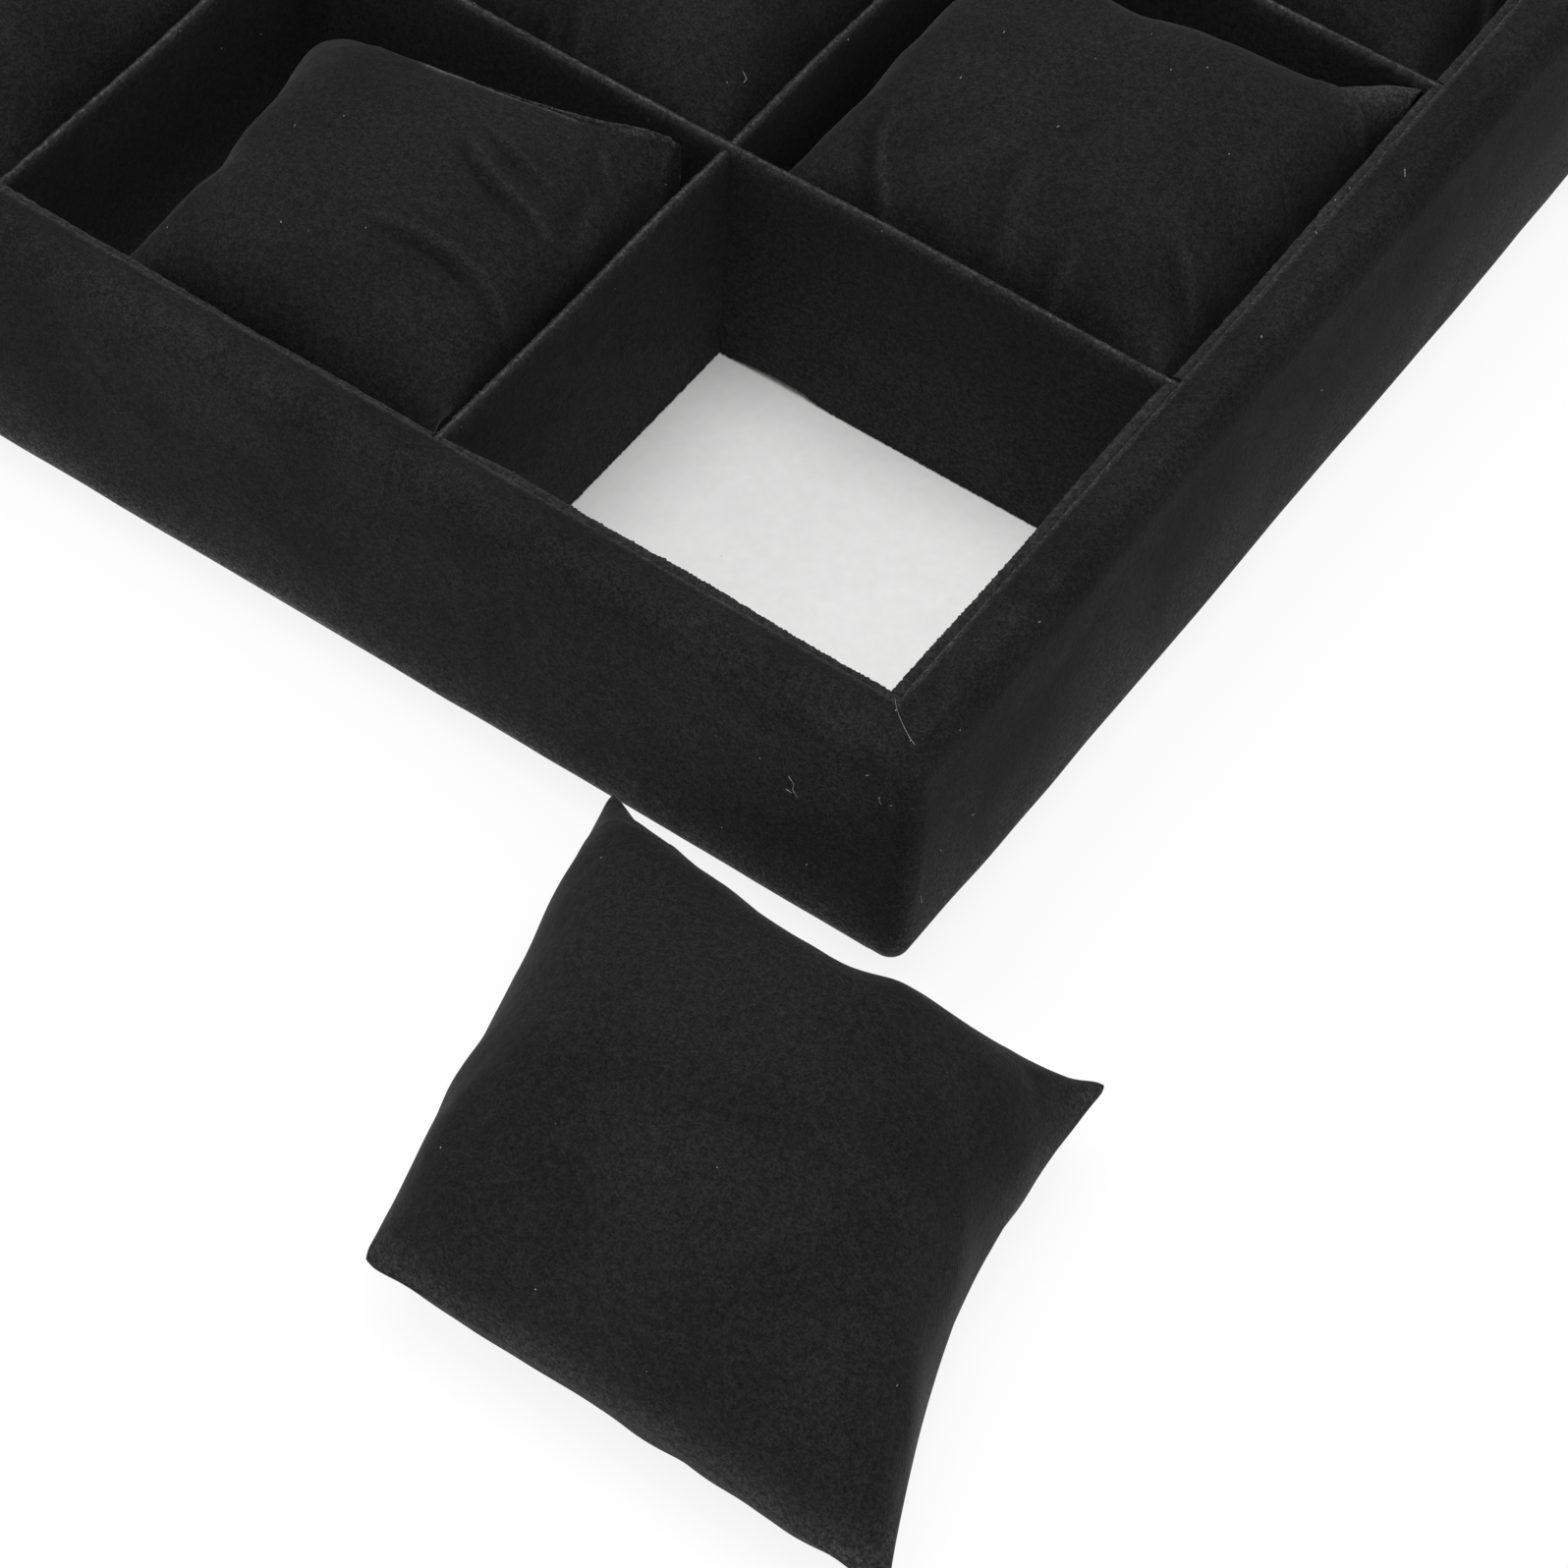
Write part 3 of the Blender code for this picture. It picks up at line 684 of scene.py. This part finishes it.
def make_board(name, middle, along_x, reach, profile, slots, fine_zones, seed,
               thickness=DIVIDER_THICKNESS, edge_radius=0.0008, sway=(0.0002, 0.06), bowed=None):
    """Velvet board standing on edge. profile(x) gives its low and high edge along it.

    sway holds how far its top wanders sideways and the wavelength of that, and bowed the
    stretch over which it leans into the empty cell.
    """
    rings = [[(x, *spot) for spot in board_section(*profile(x), thickness, edge_radius)]
             for x in board_columns(reach, slots, fine_zones)]
    count = min(len(ring) for ring in rings)
    data = np.array([[ring[k] for k in np.linspace(0, len(ring) - 1, count).round().astype(int)]
                     for ring in rings])
    flat = data.reshape(-1, 5)
    points = flat[:, :3].copy()
    normals = np.column_stack([np.zeros(len(flat)), flat[:, 3], flat[:, 4]])
    fuzz = FUZZ_DEPTH * waves(points + (0.13 * seed, 0, 0), FUZZ_WAVE, seed, 24)
    depth = np.repeat(data[:, :, 2].max(axis=1), count) - flat[:, 2]
    rise = flat[:, 2] - np.repeat(data[:, :, 2].min(axis=1), count)
    near_edge = np.maximum(smoothstep(0.0032, 0.0006, depth), smoothstep(0.0006, 0.0, rise))
    points += normals * (fuzz * near_edge)[:, None]
    ridge = thickness - DIVIDER_THICKNESS
    # Painted highlight along the ridge of the board's top, partly open pile, and painted light
    # fading down the top few millimetres of its faces
    painted_light_and_pile = np.exp(-((np.abs(flat[:, 1]) - ridge) / 0.00028) ** 2)
    painted_light_and_pile *= 1.3 * smoothstep(0.0008, 0.0002, depth)
    painted_light_and_pile = np.maximum(painted_light_and_pile, 0.3 * smoothstep(0.0034, 0.0003, depth))
    # Painted bounce light, lighter towards the floor of the cells
    painted_light_and_pile = np.maximum(painted_light_and_pile, DEEP_PAINTED_LIGHT * smoothstep(LINER_TOP - 0.004, BOARD_LOW, flat[:, 2]))
    line = np.column_stack([points[:, 0], np.full(len(points), 0.01 * seed),
                            np.zeros(len(points))])
    sideways = sway[0] * waves(line, sway[1], seed + 40)
    if bowed:
        sideways += LINER_BOW * smoothstep(*bowed, points[:, 0])
    points[:, 1] += sideways * smoothstep(BOARD_LOW, LINER_TOP, points[:, 2])
    if not along_x:
        points[:, :2] = np.column_stack([-points[:, 1], points[:, 0]])
    points += (*middle, 0)
    faces = loop_faces(len(rings), count)
    item = add_piece(name + "_velvet", points, faces, BOARD_VELVET_PAINTED_LIGHTER, painted_light_and_pile)
    item.data.set_sharp_from_angle(angle=math.radians(70))
    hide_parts(name)


def make_liners():
    middle_x, middle_y = (inner - SEAT_GAP - LINER_THICKNESS / 2 for inner in (INNER_X, INNER_Y))
    long_reach = INNER_X - SEAT_GAP
    short_reach = INNER_Y - SEAT_GAP - SLOT_GAP - LINER_THICKNESS
    near_x, near_y = COLUMNS[-1], ROWS[0]
    sides = [
        ("liner_front", (0.0, -middle_y), True, long_reach, COLUMNS,
         [(near_x - 0.005, INNER_X)], (near_x + 0.002, near_x + 0.012)),
        ("liner_back", (0.0, middle_y), True, long_reach, COLUMNS, [], None),
        ("liner_left", (-middle_x, 0.0), False, short_reach, ROWS, [], None),
        ("liner_right", (middle_x, 0.0), False, short_reach, ROWS,
         [(-INNER_Y, near_y + 0.005)], (near_y + 0.003, near_y - 0.006)),
    ]
    for seed, (name, middle, along_x, reach, lines, zones, bowed) in enumerate(sides, 1):
        def profile(x, lines=lines, seed=seed):
            wander = 0.00022 * math.sin(x * 61 + seed) + 0.00012 * math.sin(x * 190 + 2 * seed)
            return BOARD_LOW, (LAP if in_slot(x, lines) else LINER_TOP + wander - 0.0001)
        make_board(name, middle, along_x, reach, profile, lines, zones, seed,
                   LINER_THICKNESS, 0.0010, (0.00018, 0.05), bowed)


def hooked(x, hook, low, high):
    """Edges of a divider, whose end above the lap hooks over the liner."""
    return (LAP + SEAT_GAP if abs(x) > hook - LINER_THICKNESS - SEAT_GAP else low), high


def make_dividers():
    hook_x, hook_y = INNER_X - SEAT_GAP, INNER_Y - SEAT_GAP
    last = COLUMNS[-1]
    for number, (side, y) in enumerate(zip(("front", "back"), ROWS)):
        def profile(x, number=number):
            lifted = smoothstep(last, last + 0.012, x) if number == 0 else 0
            lifted *= 1 - smoothstep(last + 0.015, last + 0.022, x)
            low = BOARD_LOW + WEDGE_RISE * lifted
            low = LAP + SEAT_GAP / 2 if in_slot(x, COLUMNS) else low
            return hooked(x, hook_x, low, LINER_TOP + 0.00012 * math.sin(x * 75 + number))
        zones = [] if number else [(0.08, hook_x)]
        make_board(f"long_divider_{side}", (0.0, y), True, hook_x, profile, COLUMNS, zones,
                   11 + number)
    for number, (side, line_x) in enumerate(zip(("left", "middle", "right"), COLUMNS)):
        def profile(x):
            top = LINER_TOP - SHORT_DIVIDER_DROP
            near = min(abs(x - line) for line in ROWS)
            top += 0.0005 * (1 - smoothstep(0.002, 0.02, abs(near - 0.02)))
            top = LAP - SEAT_GAP / 2 if in_slot(x, ROWS) else top
            return hooked(x, hook_y, BOARD_LOW, top)
        zones = [(-hook_y, -0.034)] if number == 2 else []
        make_board(f"short_divider_{side}", (line_x, 0.0), False, hook_y, profile, ROWS, zones,
                   21 + number)


# Cushions


def pillow_grid(seed):
    """Two flat sheets sewn together all round, as points and quads, with a slight lift."""
    steps = PILLOW_STEPS
    levels = np.linspace(-1, 1, steps + 1)
    size, lift = np.array(CASE_SIZE), CASE_LIFT
    straight = size / 2 - CASE_CORNER
    points, upper, lower, faces = [], {}, {}, []
    random = seeded(seed)
    for i, u in enumerate(levels):
        for j, v in enumerate(levels):
            place = np.array([u, v]) * size / 2
            over = np.abs(place) - straight
            if over.min() > 0:
                place = np.copysign(straight + over * (over.max() / math.hypot(*over)), place)
            rim = i in (0, steps) or j in (0, steps)
            rise = 0.0 if rim else lift * (1 - u ** 4) * (1 - v ** 4) + lift * 0.1 * random.random()
            upper[i, j] = lower[i, j] = len(points)
            points.append((*place, rise))
            if not rim:
                lower[i, j] = len(points)
                points.append((*place, -rise))
    for i in range(steps):
        for j in range(steps):
            square = ((i, j), (i + 1, j), (i + 1, j + 1), (i, j + 1))
            faces.append(tuple(upper[c] for c in square))
            faces.append(tuple(lower[c] for c in reversed(square)))
    rim = [upper[i, 0] for i in range(steps)] + [upper[steps, j] for j in range(steps)]
    rim += [upper[i, steps] for i in range(steps, 0, -1)]
    rim += [upper[0, j] for j in range(steps, 0, -1)]
    return np.array(points), faces, rim


def inflate(points, faces, pressure):
    """Fill a flat sewn case with air by a short cloth simulation, and return its points."""
    mesh = new_mesh("case", points * SIM_SCALE, faces)
    case = new_object("case", mesh)
    cloth = case.modifiers.new("filling", "CLOTH")
    for key, value in CLOTH.items():
        setattr(cloth.settings, key, value)
    cloth.settings.uniform_pressure_force = pressure
    cloth.settings.effector_weights.gravity = 0
    cloth.point_cache.frame_start = 1
    cloth.point_cache.frame_end = CASE_FRAMES
    for number in range(1, CASE_FRAMES + 1):
        bpy.context.scene.frame_set(number)
    graph = bpy.context.evaluated_depsgraph_get()
    solved = vertex_places(case.evaluated_get(graph).to_mesh())
    bpy.data.objects.remove(case)
    bpy.data.meshes.remove(mesh)
    bpy.context.scene.frame_set(1)
    return solved / SIM_SCALE


def relaxed(points, faces, rim):
    """Soften the small creases of a filled case; its seam is only evened along itself."""
    pairs = np.array([(a, b) for face in faces for a, b in zip(face, face[1:] + face[:1])])
    pairs = np.vstack([pairs, pairs[:, ::-1]])
    count = np.bincount(pairs[:, 0], minlength=len(points))[:, None]
    rim = np.array(rim)
    for _ in range(RELAX_STEPS):
        total = np.zeros_like(points)
        np.add.at(total, pairs[:, 0], points[pairs[:, 1]])
        seam = points[rim]
        neighbours = (np.roll(seam, 1, axis=0) + np.roll(seam, -1, axis=0)) / 2
        points = points + (total / count - points) * 0.5
        points[rim] = seam + (neighbours - seam) * 0.3
    return points


def filled_cases():
    """Each kind of case once: flat places from -1 to 1, filled points, faces and rim."""
    cases = []
    for seed, pressure in CASE_KINDS:
        points, faces, rim = pillow_grid(seed)
        solved = inflate(points, faces, pressure)
        solved = relaxed(solved, faces, rim)
        solved -= (solved.max(axis=0) + solved.min(axis=0)) / 2
        cases.append((points[:, :2] / CASE_SIZE * 2, solved, faces, rim))
    return cases


def fold_profile(points, pixels, height, width):
    """A fold along a line: how much each point lies in its groove and on its left lip."""
    line = np.array([at_height(pixel, height)[:2] for pixel in pixels])
    signed = np.full(len(points), 1e9)
    share = np.zeros(len(points))
    steps = len(line) - 1
    for index, (start, end) in enumerate(zip(line, line[1:])):
        run = end - start
        length = math.hypot(*run)
        offset = points[:, :2] - start
        along = np.clip(offset @ run / length ** 2, 0, 1)
        gap = np.linalg.norm(offset - along[:, None] * run, axis=1)
        side = (run[0] * offset[:, 1] - run[1] * offset[:, 0]) / length
        closer = gap < np.abs(signed)
        signed = np.where(closer, np.copysign(gap, side), signed)
        share = np.where(closer, (index + along) / steps, share)
    taper = np.sin(share * math.pi) ** 0.7
    groove = np.exp(-((signed + 0.6 * width) / (1.3 * width)) ** 2)
    lip = np.exp(-((signed - 0.9 * width) / (0.7 * width)) ** 2)
    return groove * taper, lip * taper


def smoothed(name, points, faces, rim, levels):
    """Subdivided mesh data with its sewn rim kept a little sharper."""
    mesh = new_mesh(name, points, faces)
    sewn = {tuple(sorted(pair)) for pair in zip(rim, rim[1:] + rim[:1])}
    crease = mesh.attributes.new("crease_edge", "FLOAT", "EDGE")
    for edge in mesh.edges:
        crease.data[edge.index].value = 0.75 if tuple(sorted(edge.vertices)) in sewn else 0.0
    item = new_object(name, mesh)
    rounder = item.modifiers.new("rounder", "SUBSURF")
    rounder.levels = rounder.render_levels = levels
    graph = bpy.context.evaluated_depsgraph_get()
    finished = bpy.data.meshes.new_from_object(item.evaluated_get(graph))
    bpy.data.objects.remove(item)
    places = vertex_places(finished)
    polygons = [tuple(face.vertices) for face in finished.polygons]
    bpy.data.meshes.remove(finished)
    return places, polygons


def corner_weights(u, v):
    """How much each point belongs to each corner: front left, front right, back right, left."""
    left, right = (smoothstep(0.45, 1.0, u * side) for side in (-1, 1))
    front, back = (smoothstep(0.45, 1.0, v * side) for side in (-1, 1))
    return [left * front, right * front, right * back, left * back]


def crowned_height(z, low, seam, top, fullness=SHOULDER):
    """Height of a filled case set on a level: fuller shoulders, and flat underneath."""
    share = z / np.abs(z).max()
    rise = (top - seam) * (1 - (1 - np.clip(share, 0, 1)) ** fullness)
    drop = (seam - low) * 1.25 * (1 - (1 - np.clip(-share, 0, 1)) ** fullness)
    return np.maximum(seam + rise - drop, low)


def lead_sides(share, u, v, pulls):
    """Lead the sewn sides along smooth lines between their corners.

    pulls says how far the middle of the left, right, front and back side is drawn inwards,
    or None where a side stays.
    """
    led = share.copy()
    for pull, axis, side in zip(pulls, (0, 0, 1, 1), (-1, 1, -1, 1)):
        if pull is None:
            continue
        across, along = (u, v) if axis == 0 else (v, u)
        sewn = np.flatnonzero(across * side > 0.999)
        sewn = sewn[np.argsort(along[sewn])]
        present = np.interp(along, along[sewn], share[sewn, axis])
        target = side * (1 - pull * (1 - np.abs(along) ** SIDE_CURVE))
        led[:, axis] += (target - present) * smoothstep(0.1, 1, across * side)
    return led


def follow_far_seam(placed, u, v, seam, under):
    """Draw the far seam of a cushion to the line that it follows in the photograph.

    under marks the lower sheet, which stays lower until close to the seam.
    """
    pixels, height, (blend_low, blend_high, line_low, line_high), back, _ = seam
    line = np.array([at_height(pixel, height) for pixel in pixels])
    reach = np.append(0, np.cumsum(np.linalg.norm(np.diff(line, axis=0), axis=1)))
    share = (u - line_low) / (line_high - line_low) * reach[-1]
    target = np.column_stack([np.interp(share, reach, line[:, axis]) for axis in range(3)])
    along = smoothstep(blend_low, blend_high, u)
    weight = np.column_stack([smoothstep(back, 1, v) * along] * 3)
    late = smoothstep(max(back, 0.35), 1, v) * along
    weight[:, 2] = np.where(under, late, weight[:, 2])
    return placed + (target - placed) * weight


def painted_seam_glint(points, line, width, amount):
    """Painted highlight beside a seam, given as points along it: a glint fading with distance."""
    dense = [start.lerp(end, step / 5) for start, end in zip(line, line[1:]) for step in range(5)]
    tree = KDTree(len(dense))
    for index, place in enumerate(dense):
        tree.insert(place, index)
    tree.balance()
    gaps = np.array([tree.find(point)[2] for point in points])
    return amount * np.exp(-(gaps / width) ** 2)


def dress_cushion(node, points, faces, rim, folds, levels, seed, seam=None):
    """Subdivide, fold and roughen a shaped case, and put it in its solid's place.

    seam gives a stretch of the sewn rim that gets a painted glint: points, width and amount.
    Low flanks of cushions in cells get painted bounce light, and folds a painted highlight on
    their lips and painted shade in their grooves.
    """
    points, faces = smoothed(node + "_case", points, faces, rim, levels)
    painted_light_and_pile = painted_seam_glint(points, *seam) if seam else np.zeros(len(points))
    # Painted bounce light on the low flanks of cushions in cells, lighter towards the bottom
    if CELL_SEAM < points[:, 2].max() - 0.02:
        painted_light_and_pile = np.maximum(painted_light_and_pile, DEEP_PAINTED_LIGHT * smoothstep(RAIL_EDGE, CELL_SEAM, points[:, 2]))
    middle = points.mean(axis=0)
    top_share = smoothstep(middle[2], middle[2] + 0.010, points[:, 2])
    for pixels, height, depth, width in folds:
        groove, lip = fold_profile(points, pixels, height, width)
        points[:, 2] += depth * (0.8 * lip - groove) * top_share
        # Painted highlight on each fold's lip and painted shade in its groove
        painted_light_and_pile = painted_light_and_pile + FOLD_PAINTED_LIGHT * depth * (lip - 0.45 * groove) * top_share
    low = points[:, 2].min()
    resting = smoothstep(low, low + 0.003, points[:, 2])
    points[:, 2] += resting * 0.00035 * waves(points, 0.02, seed + 60)
    points[:, 2] += resting * 0.00010 * waves(points, 0.006, seed + 80)
    item = add_piece(node + "_velvet", points, faces, CUSHION_VELVET, painted_light_and_pile)
    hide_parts(node)


def solid_place(name):
    """Middle and half size of a node's solid, and its lowest level."""
    low, high = (np.array(corner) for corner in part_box(name))
    return (low + high)[:2] / 2, (high - low)[:2] / 2, low[2]


def make_cell_cushions(cases):
    names = {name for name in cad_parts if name.startswith("cushion_")}
    for number, name in enumerate(sorted(names - {"cushion_lifted_out"})):
        random = seeded(number + 100)
        shift, turn, lifts, tilt, pulls, shoulders, seam, folds, levels = POSES.get(name, (
            random.uniform(-0.001, 0.001, 2), random.uniform(-0.05, 0.05),
            random.uniform(0.003, 0.014, 4), random.uniform(-0.03, 0.03, 2),
            CELL_PULLS, (0.0, 0.0), None, (), 1))
        flat, solved, faces, rim = cases[number % len(cases)]
        mirror = np.array([1 if number % 3 else -1, 1 if number % 2 else -1, 1])
        middle, half_size, low = solid_place(name)
        room = half_size - WALL_GAP
        points = solved * mirror * (*CELL_FILL, 1)
        u, v = (flat * mirror[:2]).T
        heights = crowned_height(points[:, 2], low, CELL_SEAM, RAIL_EDGE + CELL_CROWN)
        for weight, lift in zip(corner_weights(u, v), lifts):
            heights += lift * weight
        top_share = smoothstep(CELL_SEAM, RAIL_EDGE, heights)
        far = smoothstep(0.0, 0.5, v) * (1 - smoothstep(0.8, 1.0, v)) * top_share
        heights += far * (shoulders[0] * smoothstep(0.1, -0.5, u)
                          + shoulders[1] * smoothstep(-0.2, 0.4, u))
        turned = points[:, :2] @ np.array([[math.cos(turn), math.sin(turn)],
                                           [-math.sin(turn), math.cos(turn)]])
        heights += top_share * (turned @ tilt)
        share = (turned + shift) / room
        share /= (1 + np.abs(share) ** CELL_SQUEEZE) ** (1 / CELL_SQUEEZE)
        share = lead_sides(share, u, v, pulls)
        placed = np.column_stack([share * room + middle, heights])
        stretch = None
        if seam:
            placed = follow_far_seam(placed, u, v, seam, solved[:, 2] < -1e-5)
            in_view, width, amount = seam[-1]
            line = [Vector(placed[k]) for k in sorted(rim, key=lambda k: u[k])
                    if v[k] > 0.999 and u[k] > in_view]
            stretch = (line, width, amount)
        dress_cushion(name, placed, faces, rim, folds, levels, number, stretch)


def make_loose_cushion(cases):
    """The cushion in front of the tray: its corners reach the corners of its solid."""
    flat, solved, faces, rim = cases[1]
    middle, (reach_x, half_y), low = solid_place("cushion_lifted_out")
    skew = half_y * math.tan(LOOSE_SKEW)
    half_x = reach_x - skew
    signs = np.array([(-1, -1), (1, -1), (1, 1), (-1, 1)])
    tips = [np.argmax(flat @ sign) for sign in signs]
    share = solved[:, :2] / np.abs(solved[tips, :2]).mean(axis=0)
    for sign, miss in zip(signs, signs - share[tips]):
        nearness = np.clip((1 + share * sign) / 2, 0, 1).prod(axis=1)
        share = share + nearness[:, None] * miss
    share = lead_sides(share, *flat.T, LOOSE_PULLS) * LOOSE_GROWTH
    heights = crowned_height(solved[:, 2], low, LOOSE_SEAM, LOOSE_TOP, LOOSE_SHOULDER)
    placed = np.column_stack([middle[0] + share[:, 0] * half_x - share[:, 1] * skew,
                              middle[1] + share[:, 1] * half_y, heights])
    line = [Vector(placed[k]) for k in rim + rim[:1]]
    dress_cushion("cushion_lifted_out", placed, faces, rim, FOLDS_LOOSE, 2, 50,
                  (line, *LOOSE_GLINT))


# Fibres


def surface_under(pixels):
    """Places and normals on the velvet that the camera sees at each pixel, floor left out."""
    graph = bpy.context.evaluated_depsgraph_get()
    found = []
    for pixel in pixels:
        hit, place, normal, *_ = bpy.context.scene.ray_cast(graph, CAMERA_PLACE, photo_ray(pixel))
        if hit and place.z > RAIL_LOW:
            found.append((place, normal))
    return found


def add_strand(points, faces, spots, radius):
    """Closed thread through the spots, half sunk in the pile."""
    faces += loop_faces(len(spots), STRAND_SIDES, first=len(points))
    for index, (place, normal) in enumerate(spots):
        before = spots[max(index - 1, 0)][0]
        after = spots[min(index + 1, len(spots) - 1)][0]
        along = (after - before).normalized()
        across = along.cross(normal).normalized()
        up = across.cross(along)
        centre = place + normal * radius * 0.6
        for side in range(STRAND_SIDES):
            angle = 2 * math.pi * side / STRAND_SIDES
            points.append(centre + (across * math.cos(angle) + up * math.sin(angle)) * radius)


def between(pixels, steps=3):
    """Pixels along a line, with more of them between its own."""
    line = [Vector(start).lerp(Vector(end), step / steps)
            for start, end in zip(pixels, pixels[1:]) for step in range(steps)]
    return line + [pixels[-1]]


def make_fibres():
    """Loose thread at the near mitre, and the fibres and specks that cling to the velvet."""
    points, faces = [], []
    random = seeded(9)
    add_strand(points, faces, surface_under(between(SEAM_THREAD)), FIBRE_RADIUS * 0.7)
    for fibre in FIBRES:
        add_strand(points, faces, surface_under(between(fibre)), FIBRE_RADIUS)
    for x, y in SEAM_KNOTS + SPECKS:
        turn = random.uniform(0, math.pi)
        half = random.uniform(0.7, 1.3)
        spots = surface_under([(x + step * math.cos(turn), y + step * math.sin(turn))
                               for step in (-half, half)])
        if len(spots) == 2:
            add_strand(points, faces, spots, FIBRE_RADIUS * random.uniform(0.9, 1.5))
    add_piece("clinging_fibres", points, faces, PALE_FIBRE)


# Camera, lights and floor


def make_camera():
    data = bpy.data.cameras.new("photo_camera")
    data.sensor_width = CAMERA_SENSOR
    data.lens = CAMERA_LENS
    data.clip_start = 0.01
    camera = new_object("photo_camera", data)
    camera.location = CAMERA_PLACE
    camera.rotation_mode = "QUATERNION"
    camera.rotation_quaternion = CAMERA_TURN
    bpy.context.scene.camera = camera


def make_floor():
    """Pale table, lit from below a little; seen directly it is nearly white."""
    material, tree, place = new_material("pale_floor")
    cloud = noise_node(tree, place, 6)
    tone = mix_colors(tree, cloud, (0.87, 0.87, 0.87, 1), (0.9, 0.9, 0.9, 1))
    finish(material, tone, {"Roughness": 0.9, "Specular IOR Level": 0.1})
    glow = add_node(tree, "ShaderNodeEmission", {"Color": (1, 1, 1, 1), "Strength": 1.0})
    path = add_node(tree, "ShaderNodeLightPath").outputs
    seen = math_node(tree, "MAXIMUM", path["Is Camera Ray"], path["Is Glossy Ray"])
    dim, bright = FLOOR_GLOW
    share = math_node(tree, "MULTIPLY_ADD", seen, bright - dim, dim)
    plain = tree.nodes["Principled BSDF"].outputs["BSDF"]
    mixed = add_node(tree, "ShaderNodeMixShader",
                     {0: share, 1: plain, 2: glow.outputs["Emission"]})
    tree.links.new(mixed.outputs[0], tree.nodes["Material Output"].inputs["Surface"])
    corners = [(x * FLOOR_HALF, y * FLOOR_HALF, -FLOOR_DROP)
               for x, y in ((-1, -1), (1, -1), (1, 1), (-1, 1))]
    floor = new_object("floor", new_mesh("floor", corners, [(0, 1, 2, 3)]))
    floor.data.materials.append(material)


def make_lights():
    world = bpy.data.worlds.new("studio")
    world.use_nodes = True
    background = world.node_tree.nodes["Background"]
    background.inputs["Color"].default_value = (1, 1, 1, 1)
    background.inputs["Strength"].default_value = WORLD_STRENGTH
    bpy.context.scene.world = world
    for name, (place, aim, size, power) in LAMPS.items():
        data = bpy.data.lights.new(name, "AREA")
        data.shape = "DISK"
        data.size = size
        data.energy = power
        light = new_object(name, data)
        light.location = place
        direction = Vector(aim) - Vector(place)
        light.rotation_euler = direction.to_track_quat("-Z", "Y").to_euler()


bpy.context.scene.view_settings.view_transform = "Standard"
make_camera()
make_floor()
make_lights()
dress_cad_nodes()
make_rail_velvet()
make_liners()
make_dividers()
CASES = filled_cases()
make_cell_cushions(CASES)
make_loose_cushion(CASES)
make_fibres()
